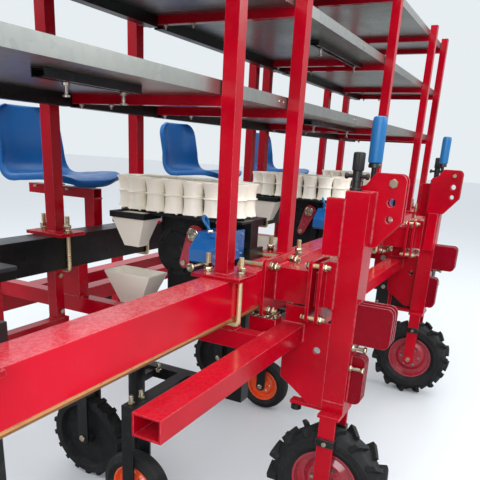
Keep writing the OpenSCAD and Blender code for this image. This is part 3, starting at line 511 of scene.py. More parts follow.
pin_y, pin_z = -0.665, 1.048
bolts.append(pipe([(-0.99, pin_y, pin_z), (-0.92, pin_y, pin_z)], 0.005, 10))
eye_end = turned([(0.01, 0), (0.013, 0.002), (0.013, 0.007), (0.0105, 0.009), (0.006, 0.009),
                  (0.006, 0.006)], 24)
bolts += copies(eye_end, [to(-0.99, pin_y, pin_z, "-X")])
zinc_bolts = piece("leg_and_post_bolts", bolts, bright_zinc, angle=40)
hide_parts("u_bolts")

# ---- chassis
# Rails, tubes and plates of the chassis, welded by hand where they meet and sprayed red over
# the weld.


def weld(a, b, size=0.0042):
    """A run of weld from a to b: one lump arrayed along the joint"""
    a, b = Vector(a), Vector(b)
    count = max(2, round((b - a).length / (1.35 * size)))
    bare()
    bpy.ops.mesh.primitive_ico_sphere_add(subdivisions=1, radius=size, location=a, rotation=(0.4, 0.7, 0.2))
    return arrayed(seated(), count, (b - a) / (count - 1))


def weld_up(x, y, low, high, size=0.0042):
    """A run of weld that stands upright"""
    return weld((x, y, low), (x, y, high), size)


def frame_weld(x, y, z, size=0.0042):
    """Weld all round a standing rectangle at one height"""
    c = [(x[0], y[0], z), (x[1], y[0], z), (x[1], y[1], z), (x[0], y[1], z)]
    return [weld(c[k], c[(k + 1) % 4], size) for k in range(4)]


def welded(name, runs):
    """The runs of weld as one piece, sprayed over with the frame"""
    piece(name, runs, red_enamel, angle=60)


finish_node(red_enamel, "chassis")
rails = ((-0.86, -0.81), (1.185, 1.235))
rail_front, rail_low, rail_top = -0.845, 0.765, 0.825
seams = []
for x in rails:
    seams += [weld((x[0], rail_front, rail_top), (x[1], rail_front, rail_top))]
    seams += [weld_up(px, rail_front, rail_low, rail_top) for px in x]
    seams += frame_weld(x, (-0.755, -0.69), rail_top) + frame_weld(x, (-0.08, 0.02), rail_top)
    for y in ((0.36, 0.44), (1.02, 1.1)):
        seams += [weld((px, y[0], rail_low), (px, y[1], rail_low)) for px in x]
for x, y in ((-0.81, 0.05), (-0.81, -0.01), (1.185, 0.05), (1.185, -0.01)):
    seams.append(weld_up(x, y, 0.767, 0.823))
for x in (-0.65, -0.638, 1.013, 1.025):
    seams.append(weld_up(x, -0.925, rail_low, rail_top))
    seams.append(weld((x, -0.925, 0.8265), (x, rail_front, 0.8265)))
for x in (1.125, 1.455):
    seams.append(weld_up(x, rail_front, 0.5, 0.7))
welded("chassis_welds", seams)

# ---- front legs
# Square posts with a bearing block for the king pin, flange plates bolted to a stub, a clamp
# plate on the front beam, and the paired lift plates on the inner side, all welded.
finish_node(red_enamel, "front_legs")
post_back, post_front = -1.02, -1.101
seams = []
for x, s in legs:
    def at(u):
        """x of a place on this leg, u out from its middle"""
        return x + s * u

    seams.append(weld_up(at(-0.04), -1.021, 1.082, 1.263, 0.005))
    seams.append(weld((at(-0.034), -0.9665, 1.265), (at(-0.034), -1.018, 1.265), 0.0035))
    seams += [weld_up(at(u), post_back, 0.902, 1.058, 0.005) for u in (-0.04, 0.04)]
    for y in (-0.94, -0.804):
        seams += [weld_up(at(u), y, 0.899, 1.015, 0.005) for u in (-0.04, 0.06)]
        seams.append(weld((at(-0.038), y, 1.017), (at(0.058), y, 1.017), 0.005))
    seams.append(weld_up(at(0.04), post_front, 1.125, 1.288, 0.005))
    seams.append(weld((at(0.05), -1.034, 1.13), (at(0.077), -1.034, 1.13), 0.004))
    seams.append(weld_up(at(0.041), -1.096, 0.907, 1.11, 0.0045))
    seams += frame_weld(sorted((at(-0.036), at(0.036))), (-1.096, -1.024), 1.29, 0.0035)
    seams.append(weld((at(-0.0405), -1.1, 0.56), (at(-0.0405), -1.022, 0.56), 0.004))
welded("leg_welds", seams)

# ---- leg plates
# Two stacks of three plates with rounded corners, cut from sheet, welded edge-on to the front
# of each leg.
# The plates wear the darker copy of the red enamel: painted shade.
finish_node(shaded_red, "leg_plates")
plate_stacks = ((0.79, 0.93, (-0.035, -0.005, 0.025)), (0.56, 0.74, (-0.012, 0.008, 0.028)))
seams = []
for x, s in legs:
    for low, high, offsets in plate_stacks:
        for u in offsets:
            seams.append(weld_up(x + s * u, post_front, low + 0.004, high - 0.004, 0.0038))
welded("plate_welds", seams)

# ---- lever grips
# A steel rod from a lug between the lift plates, with a blue moulded grip pushed on over a
# black collar.


def plastic(name, light, deep, gloss, grain=520.0, depth=0.00008, coat=0.0):
    """Moulded plastic: slight drift of tone, fine grain and rubbed shine"""
    made, tree, shader, place = bare_material(name, coat=coat, coat_rough=0.2)
    cloud = drift(tree, place, 5, 4)
    shine = spread(tree, noise(tree, place, 22, 4), 0.35, 0.65, gloss, gloss + 0.12)
    fed(tree, shader, Base_Color=mixed(tree, cloud, light, deep), Roughness=shine)
    relief(tree, shader, noise(tree, place, grain, 2), depth)
    return made


blue_grip = plastic("blue_grip", (0.006, 0.155, 0.4), (0.004, 0.125, 0.34), 0.36)
black_plastic = plastic("black_plastic", (0.0075, 0.0085, 0.0095), (0.004, 0.0045, 0.005), 0.36)
grips, collars, rods = [], [], []
grip_y = -1.075
for x, s in legs:
    here = [to(x + s * 0.0635, grip_y, 0)]
    grips += copies(turned([(0.019, 1.378), (0.0222, 1.381), (0.023, 1.388), (0.023, 1.498),
                            (0.0226, 1.508), (0.0205, 1.5165), (0.015, 1.5195), (0.006, 1.52)], 32), here)
    collars += copies(turned([(0.015, 1.363), (0.02, 1.364), (0.02, 1.374), (0.0175, 1.378)], 32), here)
    rods += copies(turned([(0.008, 1.15), (0.008, 1.366)], 16), here)
    lug = turned([(0.0112, 0.0002), (0.012, 0.001), (0.012, 0.026), (0.0112, 0.0268)], 24)
    rods += copies(lug, [to(x + s * 0.05, grip_y, 1.16, "X" if s > 0 else "-X")])
blue_grips = piece("lever_grip_handles", grips, blue_grip)
piece("lever_grip_collars", collars, black_plastic)
piece("lever_rods", rods, black_enamel)
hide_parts("lever_grips")

# ---- jack heads
# The head of the screw jack in each front leg: a flanged neck, a knurled black cap and a
# cross bar with round knobs to turn it by.


def turn_of(v):
    """Degrees round Z at which a vertex lies"""
    return degrees(atan2(v.co.y, v.co.x))


def pushed(made, chosen, share):
    """The chosen vertices are drawn in towards Z or out from it"""
    picked(made)
    for v in made.data.vertices:
        v.select = chosen(v)
    mode("EDIT")
    bpy.ops.mesh.select_mode(type="VERT")
    bpy.ops.transform.resize(value=(share, share, 1), center_override=(0, 0, 0))
    mode("OBJECT")


heads = []
jack_y, post_top, bar_z = -1.04, 1.29, 1.336
knurls = 48
for x, s in legs:
    here = [to(x, jack_y, post_top)]
    heads += copies(turned([(0.02, 0), (0.02, 0.008), (0.0185, 0.01), (0.014, 0.01), (0.014, 0.03),
                            (0.015, 0.031), (0.015, 0.062), (0.0175, 0.064)], 32), here)
    cap = turned([(0.018, 0.064), (0.019, 0.067), (0.019, 0.112), (0.0178, 0.118), (0.01, 0.12)], knurls)
    mode("EDIT")
    bpy.ops.mesh.select_all(action="DESELECT")
    mode("OBJECT")
    pushed(cap, lambda v: round(turn_of(v) / 360 * knurls) % 2, 0.955)
    heads += copies(cap, here)
    heads.append(pipe([(x, -1.074, bar_z), (x, -1.006, bar_z)], 0.006, 12))
    heads += copies(turned([(0.006, -0.005), (0.0092, -0.0045), (0.01, -0.002), (0.01, 0.002),
                            (0.0092, 0.0045), (0.006, 0.005)], 20),
                    [to(x, jack_y + v * 0.034, bar_z, "Y") for v in (-1, 1)])
jack = piece("jack_screw_heads", heads, black_plastic, angle=30)
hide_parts("jack_heads")

# ---- chain cases and chains
# An open sheet box beside each leg, where a roller chain of plain steel links goes down from
# the sprocket on its stub shaft.
steel_chain = metal("steel_chain", (0.5, 0.47, 0.42), (0.26, 0.23, 0.2), 0.28, 0.5, 60)
finish_node(red_enamel, "chain_cases")
finish_node(steel_chain, "drive_chains")


def round_x(x, y, z, r, turn, way, spin=0.0):
    """Place on a circle about X, turn in degrees from Y"""
    a = radians(turn)
    return to(x, y + r * cos(a), z + r * sin(a), way, spin)


links, case_seams = [], []
sprocket_y, sprocket_z, chain_r = -0.797, 0.805, 0.032
for x, s in legs:
    mid = x - s * 0.085
    for u in (-0.0145, 0.0145):
        links += [round_x(mid + u, sprocket_y, sprocket_z, chain_r, turn, "X") for turn in range(-10, 191, 20)]
    for e in (-0.115, -0.055):
        case_seams.append(weld_up(x + s * e, -0.8452, 0.695, 0.84, 0.003))
pin_end = turned([(0.0036, -0.003), (0.0048, -0.0018), (0.0048, 0.0018), (0.0036, 0.003)], 10)
piece("chain_pins", copies(pin_end, links), steel_chain)
slack = []
slack_run = ((-0.111, -0.756, 0.8505), (-0.111, -0.79, 0.8505), (-0.106, -0.842, 0.8505),
             (-0.064, -0.843, 0.8505), (-0.06, -0.815, 0.8545), (-0.094, -0.812, 0.86),
             (-0.108, -0.84, 0.86), (-0.062, -0.836, 0.86))
link_pitch = 0.0125
for x, s in legs:
    line = [Vector((x + s * a, b, c)) for a, b, c in slack_run]
    for one, two in zip(line, line[1:]):
        way = two - one
        count = max(2, round(way.length / link_pitch))
        aimed = way.to_track_quat("X", "Z").to_matrix().to_4x4()
        for k in range(count):
            rolled = Matrix.Rotation(radians(30 + 90 * (k % 2)), 4, "X")
            slack.append(Matrix.Translation(one + way * (k + 0.5) / count) @ aimed @ rolled)
bare()
bpy.ops.mesh.primitive_torus_add(major_radius=0.0064, minor_radius=0.0016, major_segments=14,
                                 minor_segments=6)
bpy.ops.transform.resize(value=(1.5, 0.85, 1))
piece("chain_slack", copies(seated(), slack), bright_zinc, angle=60)
welded("chain_case_welds", case_seams)

# ---- engine
# A small air-cooled engine in the cradle beside the right front leg: black shrouds, cast fins,
# bright fittings and a round orange cover over the starter.
orange_enamel = enamel("orange_enamel", (0.95, 0.115, 0.02), (0.8, 0.085, 0.014), gloss=0.3, dust=0.06)
cast_alloy = metal("cast_alloy", (0.66, 0.66, 0.64), (0.45, 0.45, 0.43), 0.4, 0.58, 80)
finish_node(black_plastic, "engine")
finish_node(orange_enamel, "engine_cap")


def bar(x, y, z, edge=0.002):
    """Block stretched to its limits with its edges broken"""
    bare()
    bpy.ops.mesh.primitive_cube_add(size=1, location=[(a + b) / 2 for a, b in (x, y, z)],
                                    scale=[b - a for a, b in (x, y, z)])
    return applied(seated(), "BEVEL", width=edge, segments=2)


shroud, fittings = [], []
engine_side = 1.143
for z in (0.52, 0.552, 0.584):
    shroud.append(bar((1.1385, 1.1425), (-1.05, -0.965), (z, z + 0.02)))
ring = turned([(0.048, 0), (0.052, 0.003), (0.052, 0.006), (0.046, 0.01), (0.036, 0.01)], 40)
shroud += copies(ring, [to(engine_side, -0.9, 0.665, "-X")])
shroud.append(bar((1.1155, 1.1185), (-0.906, -0.894), (0.634, 0.696), 0.001))
for k in range(9):
    shroud.append(bar((1.16, 1.3), (-1.0655, -1.0595), (0.6 + 0.014 * k, 0.606 + 0.014 * k), 0.001))
shroud.append(bar((1.31, 1.425), (-1.069, -1.059), (0.56, 0.735), 0.006))
fittings.append(bar((1.128, 1.1435), (-1.03, -0.975), (0.69, 0.735), 0.004))
fittings.append(bar((1.132, 1.1435), (-1.046, -1.008), (0.64, 0.672), 0.003))
plug = turned([(0.013, 0), (0.013, 0.008), (0.009, 0.009), (0.009, 0.0155), (0.006, 0.016)], 20)
fittings += copies(plug, [to(engine_side, y, z, "-X") for y, z in
                          ((-0.985, 0.655), (-0.8, 0.6), (-1.02, 0.61))])
pull_line = [(1.139, -1.02, 0.69), (1.135, -1.045, 0.665), (1.136, -1.052, 0.62), (1.139, -1.04, 0.56)]
fittings.append(pipe(pull_line, 0.004, 8, 6))
cover_screws = ((-1.048, 0.74), (-0.775, 0.74), (-0.775, 0.5), (-1.048, 0.5), (-0.842, 0.722),
                (-0.958, 0.722))
fittings += copies(nut(0.013, 0.006), [to(engine_side, y, z, "-X", 0.3) for y, z in cover_screws])
fittings.append(bar((1.2, 1.4), (-1.04, -0.79), (0.7485, 0.754), 0.003))
piece("engine_shroud", shroud, black_plastic)
piece("engine_fittings", fittings, cast_alloy)

# ---- tray rack
# Square uprights welded to base plates, red cross bearers, black rear tubes and short
# channels hung from the shelves by small hooked bolts.
finish_node(red_enamel, "rack_posts", "rack_bearers")
half_post, post_without_bearer = 0.0225, 0.63
shelf_levels = [1.541 + 0.322 * i for i in range(3)]
seams = []
for posts, y, z in ((front_posts, front_row, 1.029), (rear_posts, rear_row, 1.081)):
    for x in posts:
        seams += frame_weld((x - half_post, x + half_post), (y - half_post, y + half_post), z, 0.0038)
for z in shelf_levels:
    for x in rear_posts:
        if x != post_without_bearer:
            seams += [weld((x - 0.013, -0.7178, z - 0.03), (x + 0.013, -0.7178, z - 0.03), 0.0032),
                      weld_up(x - 0.015, -0.7178, z - 0.028, z - 0.004, 0.0032)]
        seams.append(weld_up(x - 0.015, -0.0522, z - 0.028, z - 0.004, 0.0032))
welded("rack_welds", seams)
hooks = []
hooks_below = ((-1.4, -1.2, 0.18, 0.7), (0.18, 0.7), ())
for level, xs in zip(shelf_levels, hooks_below):
    z = level - 0.021
    for x in xs:
        hooks += copies(nut(0.016, 0.008), [to(x, -0.58, z, "-Z", 0.3)])
        hooks += copies(turned([(0.0045, 0), (0.0045, 0.026), (0.009, 0.027), (0.009, 0.031)], 12),
                        [to(x, -0.58, z, "-Z")])
for level in shelf_levels:
    for x in rear_posts:
        for y in (-0.3, -0.175):
            hooks += copies(nut(0.014, 0.006), [to(x, y, level - 0.03, "-Z", 0.5)])
            hooks += copies(turned([(0.004, 0), (0.004, 0.014)], 10), [to(x, y, level - 0.03, "-Z")])
piece("hanger_bolts", hooks, steel_chain)

# ---- shelves
# Pans folded from galvanised sheet, butted end to end, with a spangle in the zinc and rivets
# through the turned lip at each joint.
galvanised, pan_tree, pan_shader, pan_place = bare_material("galvanised_sheet", metallic=0.9)
spangle = fed(pan_tree, "TexVoronoi", Vector=pan_place, Scale=55)
flake = fed(pan_tree, "SeparateColor", Color=spangle.outputs["Color"])
pan_mix = sums(pan_tree, "ADD", sums(pan_tree, "MULTIPLY", flake.outputs[0], 0.35),
               sums(pan_tree, "MULTIPLY", drift(pan_tree, pan_place, 3, 5), 0.65))
fed(pan_tree, pan_shader, Base_Color=mixed(pan_tree, pan_mix, (0.38, 0.395, 0.37), (0.26, 0.28, 0.27)),
    Roughness=spread(pan_tree, pan_mix, 0, 1, 0.27, 0.38))
relief(pan_tree, pan_shader, flake.outputs[1], 0.00001)
finish_node(galvanised, "shelf_lower", "shelf_middle", "shelf_upper")
rivets = []
for level in shelf_levels:
    z = level + 0.019
    for joint in (-1.88, -0.51, 0.385, 0.9, 1.88):
        for side in (-0.02, 0.02):
            rivets += [to(joint + side, -0.714, z, "-Y"), to(joint + side, -0.11, z, "Y")]
rivet = turned([(0.0046, 0), (0.0042, 0.0012), (0.0024, 0.0021), (0.0008, 0.0023)], 12)
piece("shelf_rivets", copies(rivet, rivets), bright_zinc)

# ---- planting units
# Four cast and welded black units: gear body, clutch housing, deck, tool bar, drop tube and
# beak. Covers are bolted on, and the crank outside them turns in a steel bearing.
units = (-1.755, -0.585, 0.585, 1.755)
black_cast = enamel("black_cast", (0.0065, 0.008, 0.009), (0.0035, 0.0045, 0.0055), gloss=0.36,
                    dust=0.035, wear_and_highlight_amount=0.45, worn_and_lit_edge_tone=primer_and_edge_highlight, coat=0.0, shine=0.3)
finish_node(black_cast, "planter_frames")
clutch_y, clutch_z, clutch_screw_r = -0.4, 1.02, 0.079
clutch_cover = [(0.066, 0), (0.07, 0.001), (0.07, 0.004), (0.06, 0.005), (0.03, 0.005), (0.026, 0.009),
                (0.018, 0.01)]
gear_screws = ((-0.595, 0.955), (-0.54, 0.955), (-0.595, 1.14), (-0.54, 1.14), (-0.595, 1.01))
deck_screws = ((-0.23, -0.04), (-0.17, -0.04), (-0.37, -0.4), (-0.31, -0.4), (-0.06, -0.3),
               (0.0, -0.15))
ribs, screws, pegs = [], [], []
for u in units:
    ribs += copies(turned(clutch_cover, 40), [to(u - 0.089, clutch_y, clutch_z, "-X")])
    screws += [round_x(u - 0.085, clutch_y, clutch_z, clutch_screw_r, 22.5 + 45 * k, "-X", k) for k in range(8)]
    for z in (0.965, 1.04, 1.125):
        ribs.append(bar((u - 0.0655, u - 0.0595), (-0.604, -0.532), (z, z + 0.006), 0.001))
    for y, z in gear_screws:
        screws += [to(u - 0.06, y, z, "-X", y * 9), to(u + 0.06, y, z, "X", y * 9)]
    screws += [to(u - 0.03, -0.643, z, "-X") for z in (0.56, 0.7)]
    screws += [to(u + 0.03, -0.6315, 0.47, "X"), to(u + 0.025, -0.1, 0.47, "X")]
    ribs.append(bar((u - 0.094, u + 0.094), (-0.6055, -0.5995), (1.157, 1.161), 0.001))
    pegs += [to(u + x, y, 0.495, "Z", x * 30) for x, y in deck_screws]
piece("unit_covers", ribs, black_cast)
clamp_screws = copies(nut(0.024, 0.012), pegs)
clamp_screws += copies(turned([(0.0085, 0.012), (0.0085, 0.034), (0.0075, 0.036)], 14), pegs)
piece("tool_bar_screws", clamp_screws, bright_zinc)
piece("unit_screws", copies(nut(0.013, 0.006), screws), black_cast)

# ---- cranks
# Dark red forged cranks on the units' outer faces. A turned steel bearing closes the end of
# each shaft, and a nut holds the pin at the crank's other end.
# The pale pink edge tone is painted highlight as well as rubbed paint.
dark_red = enamel("dark_red_enamel", (0.4, 0.022, 0.042), (0.3, 0.015, 0.03), gloss=0.22, dust=0.06,
                  wear_and_highlight_amount=0.5, worn_and_lit_edge_tone=(0.5, 0.3, 0.28))
machined = metal("machined_steel", (0.72, 0.66, 0.52), (0.5, 0.45, 0.38), 0.18, 0.32, 90)
finish_node(dark_red, "crank_arms")
crank_y, crank_z, crank_reach, crank_turn = -0.495, 1.098, 0.118, radians(158)
bearing = [(0.0235, 0), (0.0235, 0.004), (0.0215, 0.0055), (0.0185, 0.0055), (0.018, 0.003),
           (0.012, 0.003), (0.0115, 0.0065), (0.006, 0.007)]
pin_y = crank_y + crank_reach * sin(crank_turn)
pin_z = crank_z + crank_reach * cos(crank_turn)
bearings = []
for u in units:
    bearings += copies(turned(bearing, 32), [to(u - 0.13, crank_y, crank_z, "-X")])
    bearings += copies(nut(0.019, 0.009), [to(u - 0.118, pin_y, pin_z, "-X", 0.3)])
piece("crank_bearings", bearings, machined)

# ---- feed boxes
# Blue sheet boxes on the units, their fronts held by small screws. Two taps and a union stand
# on the top, and a blue hose loops from the union back into it.
# The light blue edge tone is painted highlight as well as rubbed paint.
blue_enamel = enamel("blue_enamel", (0.008, 0.125, 0.4), (0.006, 0.1, 0.33), gloss=0.24, dust=0.05,
                     wear_and_highlight_amount=0.35, worn_and_lit_edge_tone=(0.2, 0.4, 0.6))
finish_node(blue_enamel, "drive_boxes")
box_top, box_front = 1.13, -0.6685
tap = [(0.011, 0), (0.011, 0.006), (0.007, 0.008), (0.006, 0.03), (0.009, 0.032), (0.009, 0.038),
       (0.005, 0.04)]
hose_loop = ((-0.235, -0.628, 1.136), (-0.24, -0.622, 1.15), (-0.252, -0.612, 1.168), (-0.24, -0.6, 1.184),
             (-0.212, -0.596, 1.18), (-0.198, -0.598, 1.16), (-0.196, -0.6, 1.128))
box_screws = ((-0.255, 1.052), (-0.08, 1.045), (-0.08, 1.115), (-0.22, 1.112))
taps, hoses = [], []
for u in units:
    for x, y in ((-0.195, -0.64), (-0.12, -0.65)):
        taps += copies(turned(tap, 16), [to(u + x, y, box_top)])
        taps.append(pipe([(u + x - 0.022, y, 1.163), (u + x + 0.022, y, 1.163)], 0.0035, 8))
    taps += copies(nut(0.017, 0.01), [to(u - 0.235, -0.628, box_top, "Z", 0.4)])
    hoses.append(pipe([(u + x, y, z) for x, y, z in hose_loop], 0.005, 10, 8))
    taps += copies(nut(0.011, 0.004), [to(u + x, box_front + 0.0005, z, "-Y", 0.3) for x, z in box_screws])
piece("feed_box_taps", taps, machined)
piece("feed_box_hoses", hoses, blue_grip, angle=60)

# ---- seedling cups
# Moulded cream cups: a flared mouth, a flange over the carrier ring, four thin ribs and four
# points under the skirt. The widening makes them wider than the solid ones; 1 gives their size.
cream = plastic("cream_plastic", (0.95, 0.91, 0.8), (0.9, 0.85, 0.73), 0.36, 300, 0.00006)
cup = turned([(0.029, 0.006), (0.0325, 0.004), (0.0345, 0), (0.0325, 0.006), (0.03, 0.017),
              (0.0288, 0.03), (0.0284, 0.05), (0.0288, 0.0585), (0.0338, 0.0592), (0.035, 0.061),
              (0.0338, 0.0632), (0.029, 0.0642), (0.029, 0.076), (0.0302, 0.088), (0.033, 0.101),
              (0.0368, 0.111), (0.0372, 0.1145), (0.0364, 0.115), (0.0346, 0.113), (0.0308, 0.1),
              (0.0276, 0.086), (0.0262, 0.07), (0.0258, 0.04), (0.025, 0.02), (0.015, 0.016)], 32)
cup_widening = 1.06 * 1.05 * 1.08
cup.data.transform(Matrix.Diagonal((cup_widening, cup_widening, 1, 1)))


def round_cup(made, radius, a):
    """The part goes to the cup's wall at angle a and faces outwards"""
    place = Matrix.Translation((radius * cos(a), radius * sin(a), 0))
    made.data.transform(place @ Matrix.Rotation(a + pi / 2, 4, "Z"))
    return made


cup_parts = [cup]
for k in range(4):
    foot = bar((-0.0045, 0.0045), (-0.0015, 0.0015), (-0.005, 0.006), 0.001)
    cup_parts.append(round_cup(foot, 0.0345, radians(45 + 90 * k)))
    rib = bar((-0.0012, 0.0012), (-0.0025, 0.0025), (0.0645, 0.095), 0.0006)
    cup_parts.append(round_cup(rib, 0.0292, radians(90 * k)))
picked(*cup_parts)
bpy.ops.object.join()
bpy.ops.object.shade_smooth_by_angle(angle=radians(40))
straight, radius, cup_count = 0.28, 0.105, 15
loop_y, deck_top = -0.38, 1.166
loop_length = 2 * straight + 2 * pi * radius


def on_loop(u, number):
    """Place of one cup: the straight runs and the two half turns of the conveyor"""
    s, half = number * loop_length / cup_count, pi * radius
    if s < straight:
        y, a = -straight / 2 + s, pi
    elif s < straight + half:
        y, a = straight / 2, pi - (s - straight) / radius
    elif s < 2 * straight + half:
        y, a = straight / 2 - (s - straight - half), 0.0
    else:
        y, a = -straight / 2, -(s - 2 * straight - half) / radius
    middle = Matrix.Translation((u, loop_y + y, deck_top))
    return middle @ Matrix.Rotation(a, 4, "Z") @ Matrix.Translation((radius, 0, 0))


cup_places = [on_loop(u, k + 0.5) for u in units for k in range(cup_count)]
cups = piece("conveyor_cups", copies(cup, cup_places), cream, angle=40)
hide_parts("seedling_cups")
finish_node(cream, "drop_funnels")

# ---- seats
# One-piece blue plastic bucket seats, pressed from sheet: a dished pan that rolls down in
# front, a back that leans a little, round corners and a rim turned over all round.
blue_plastic = plastic("blue_plastic", (0.003, 0.105, 0.34), (0.002, 0.09, 0.295), 0.3, 700, 0.00005,
                       coat=0.08)
seat_tree = blue_plastic.node_tree
fed(seat_tree, seat_tree.nodes["Principled BSDF"], Specular_IOR_Level=0.22)
seat_wide, seat_corner, seat_rim = 0.196, 0.075, 0.03
seat_line = [(0.012, 0.02), (0.03, 0.034), (0.07, 0.042), (0.13, 0.04), (0.2, 0.033), (0.27, 0.028),
             (0.32, 0.03), (0.355, 0.044), (0.38, 0.072), (0.394, 0.11), (0.404, 0.16), (0.414, 0.21),
             (0.424, 0.26), (0.434, 0.312)]
seat_runs = [0.0]
for (y0, z0), (y1, z1) in zip(seat_line, seat_line[1:]):
    seat_runs.append(seat_runs[-1] + hypot(y1 - y0, z1 - z0))


def seat_point(u, d):
    """Point of the pressed sheet: u from -1 to 1 across, d along its middle line from the front"""
    k = next((k for k in range(1, len(seat_runs) - 1) if seat_runs[k] >= d), len(seat_runs) - 1)
    t = (d - seat_runs[k - 1]) / (seat_runs[k] - seat_runs[k - 1])
    (y0, z0), (y1, z1) = seat_line[k - 1], seat_line[k]
    y, z = y0 + t * (y1 - y0), z0 + t * (z1 - z0)
    steep = min(1.0, max(0.0, (d - 0.24) / 0.22))
    near = min(d, seat_runs[-1] - d, seat_corner)
    half = seat_wide - steep * 0.022 - seat_corner + sqrt(seat_corner ** 2 - (seat_corner - near) ** 2)
    lift = 0.036 * abs(u) ** 3.2
    return Vector((u * half, y - steep * lift * 1.25, z + (1 - steep) * lift * 0.45 + 0.006))


bare()
bpy.ops.mesh.primitive_grid_add(x_subdivisions=26, y_subdivisions=40, size=2)
shell = bpy.context.object
for v in shell.data.vertices:
    gu, gv = v.co.x, v.co.y
    u, w = max(-1, min(1, gu / 0.9)), max(-1, min(1, gv / 0.94))
    d = seat_runs[-1] * (w + 1) / 2
    here = seat_point(u, d)
    if abs(gu) > 0.95 or abs(gv) > 0.96:
        along = seat_point(u * 0.9, min(d + 0.01, seat_runs[-1])) - seat_point(u * 0.9, max(d - 0.01, 0))
        down = Vector((0, along.z, -along.y)).normalized()
        here += down * seat_rim + Vector((0.004 * u, 0, 0))
    v.co = here
applied(shell, "SOLIDIFY", thickness=0.005, offset=0)
applied(shell, "SUBSURF", levels=2, render_levels=2)
for number, seat in enumerate(copies(shell, [to(u, 0.05, 1.21) for u in units]), 1):
    made = piece("seat_shell_%d" % number, [seat], blue_plastic, angle=80)
    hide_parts("seats")
seat_screws = [to(u + x, y, 1.2095, "-Z", x * 20)
               for u in units for x in (-0.08, 0.08) for y in (0.15, 0.33)]
piece("seat_screws", copies(nut(0.015, 0.008), seat_screws), bright_zinc)

# ---- seat brackets and footrests
# Square tubes welded up and painted red, the seat bracket against the rear beam and the
# footrest's posts under it, each held by a pair of bolts.
finish_node(red_enamel, "seat_brackets", "footrests")
seams, holders = [], []
beam_back = 0.032
for u in units:
    seams += frame_weld((u - 0.025, u + 0.025), (0.06, 0.11), 1.0252, 0.0038)
    seams += [weld_up(u + x, beam_back, 0.978, 1.022, 0.004) for x in (-0.025, 0.025)]
    seams.append(weld((u - 0.025, 0.0602, 1.17), (u + 0.025, 0.0602, 1.17), 0.0038))
    for x in (-0.64, -0.365):
        seams += frame_weld((u + x - 0.02, u + x + 0.02), (-0.07, -0.03), 0.7605, 0.0035)
        holders += [to(u + x, -0.07, z, "-Y", 0.3) for z in (0.925, 0.79)]
welded("bracket_welds", seams)
piece("footrest_bolts", copies(nut(0.017, 0.01), holders), bright_zinc)

# ---- rear legs and forks
# Rear arms and the steered front forks in red, with a black clamp collar on each arm, its
# bolt through the side, and the axle nuts.
finish_node(red_enamel, "rear_legs", "fork_left", "fork_right")
axle_y, axle_z, collar_z = 1.06, 0.2275, 0.415
sides = ((-1, "-X"), (1, "X"))
for side, (x, _) in zip(("left", "right"), legs):
    bands, clips, axle_ends = [], [], []
    for s, way in sides:
        c = x + s * 0.073
        bands.append(bar((c - 0.0145, c + 0.0145), (-1.0945, -1.0255), (0.3995, 0.4305), 0.002))
        clips.append(to(x + s * 0.0875, -axle_y, collar_z, way, 0.3))
        axle_ends.append(to(x + s * 0.089, -axle_y, axle_z, way, 0.6))
    piece("fork_collars_" + side, bands, black_enamel, "fork_" + side)
    pins = copies(nut(0.017, 0.009), clips) + copies(nut(0.024, 0.008), axle_ends)
    pins += copies(turned([(0.0085, 0), (0.0085, 0.006), (0.006, 0.007)], 16), [to(x, -0.91, 0.507, "Z")])
    piece("fork_nuts_" + side, pins, bright_zinc, "fork_" + side)
bands, clips = [], []
for lo, hi in ((-0.395, -0.325), (0.7, 0.77)):
    bands.append(bar((lo - 0.0005, hi + 0.0005), (1.0235, 1.0965), (0.4295, 0.4705), 0.002))
    clips += [to(lo - 0.001, axle_y, 0.45, "-X", 0.3), to(hi + 0.001, axle_y, 0.45, "X", 0.3)]
piece("rear_leg_collars", bands, black_enamel)
piece("rear_leg_bolts", copies(nut(0.017, 0.009), clips), bright_zinc)

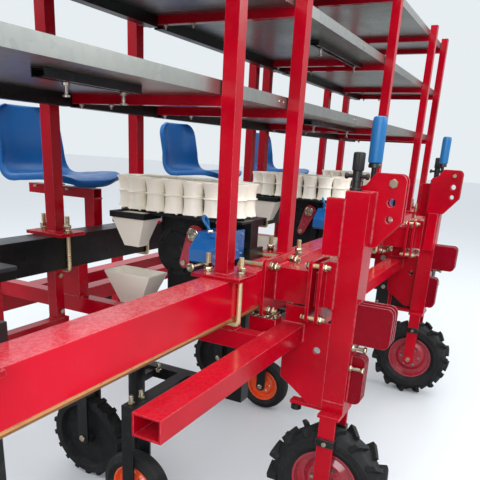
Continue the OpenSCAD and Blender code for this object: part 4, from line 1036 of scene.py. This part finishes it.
# ---- road wheels
# Lugged rubber tyres on pressed dark red rims. The hub is held by six bolts, a valve stands
# out of each rim, and two moulded ribs run round each sidewall.
rubber, rub_tree, rub_shader, rub_place = bare_material("black_rubber")
rub_cloud = drift(rub_tree, rub_place, 9, 5)
rub_dust = spread(rub_tree, noise(rub_tree, rub_place, 60, 6, 0.7), 0.5, 0.75, 0, 0.35)
rub_tone = mixed(rub_tree, rub_cloud, (0.0125, 0.0135, 0.0145), (0.007, 0.0075, 0.008))
fed(rub_tree, rub_shader, Base_Color=mixed(rub_tree, rub_dust, rub_tone, (0.05, 0.048, 0.045)),
    Roughness=spread(rub_tree, rub_cloud, 0, 1, 0.55, 0.75), Specular_IOR_Level=0.25)
relief(rub_tree, rub_shader, noise(rub_tree, rub_place, 240, 3), 0.0002, rounded_edge(rub_tree, 0.0025))
hub_r = 0.0533
valve = [(0.0045, 0), (0.0045, 0.02), (0.0032, 0.021), (0.0032, 0.03)]
wheels = (("front_left", -0.61, -axle_y), ("front_right", 0.985, -axle_y), ("rear_left", -0.475, axle_y),
          ("rear_right", 0.85, axle_y))
for name, x, y in wheels:
    finish_node(rubber, "tyre_" + name)
    finish_node(dark_red, "rim_" + name)
    hub_nuts, beads = [], []
    for s, way in sides:
        hub_nuts += [round_x(x - 0.013 + s * 0.003, y, axle_z, hub_r, 60 * k, way, k) for k in range(6)]
    made = copies(nut(0.015, 0.008), hub_nuts)
    made += copies(turned(valve, 10), [to(x - 0.008, y + 0.03, axle_z + 0.098, "-X")])
    piece("wheel_bolts_" + name, made, steel_chain, "wheel_" + name)
    for s, way in sides:
        for r, w in ((0.17, 0.0016), (0.153, 0.0013)):
            bare()
            bpy.ops.mesh.primitive_torus_add(major_radius=r, minor_radius=0.003, major_segments=56,
                                             minor_segments=6)
            bpy.ops.transform.resize(value=(1, 1, w / 0.003))
            beads += copies(seated(), [to(x + s * 0.0548, y, axle_z, way)])
    piece("sidewall_ribs_" + name, beads, rubber, "wheel_" + name, angle=50)

# ---- unit wheels
# Black lugged press wheels, and small gauge wheels with a rubber tyre on an orange rim, each
# on a bolt between the two arms of its unit.
for k, u in enumerate(units, 1):
    finish_node(rubber, "press_wheel_%d" % k, "gauge_tyre_%d" % k)
    finish_node(orange_enamel, "gauge_rim_%d" % k)
axle_nuts = []
unit_axles = ((-0.2, -0.04, 0.185, 0.046), (-0.34, -0.4, 0.14, 0.056))
for u in units:
    for x, y, z, reach in unit_axles:
        axle_nuts += [to(u + x - reach, y, z, "-X", 0.3), to(u + x + reach, y, z, "X", 0.3)]
piece("unit_axle_nuts", copies(nut(0.026, 0.01), axle_nuts), bright_zinc)
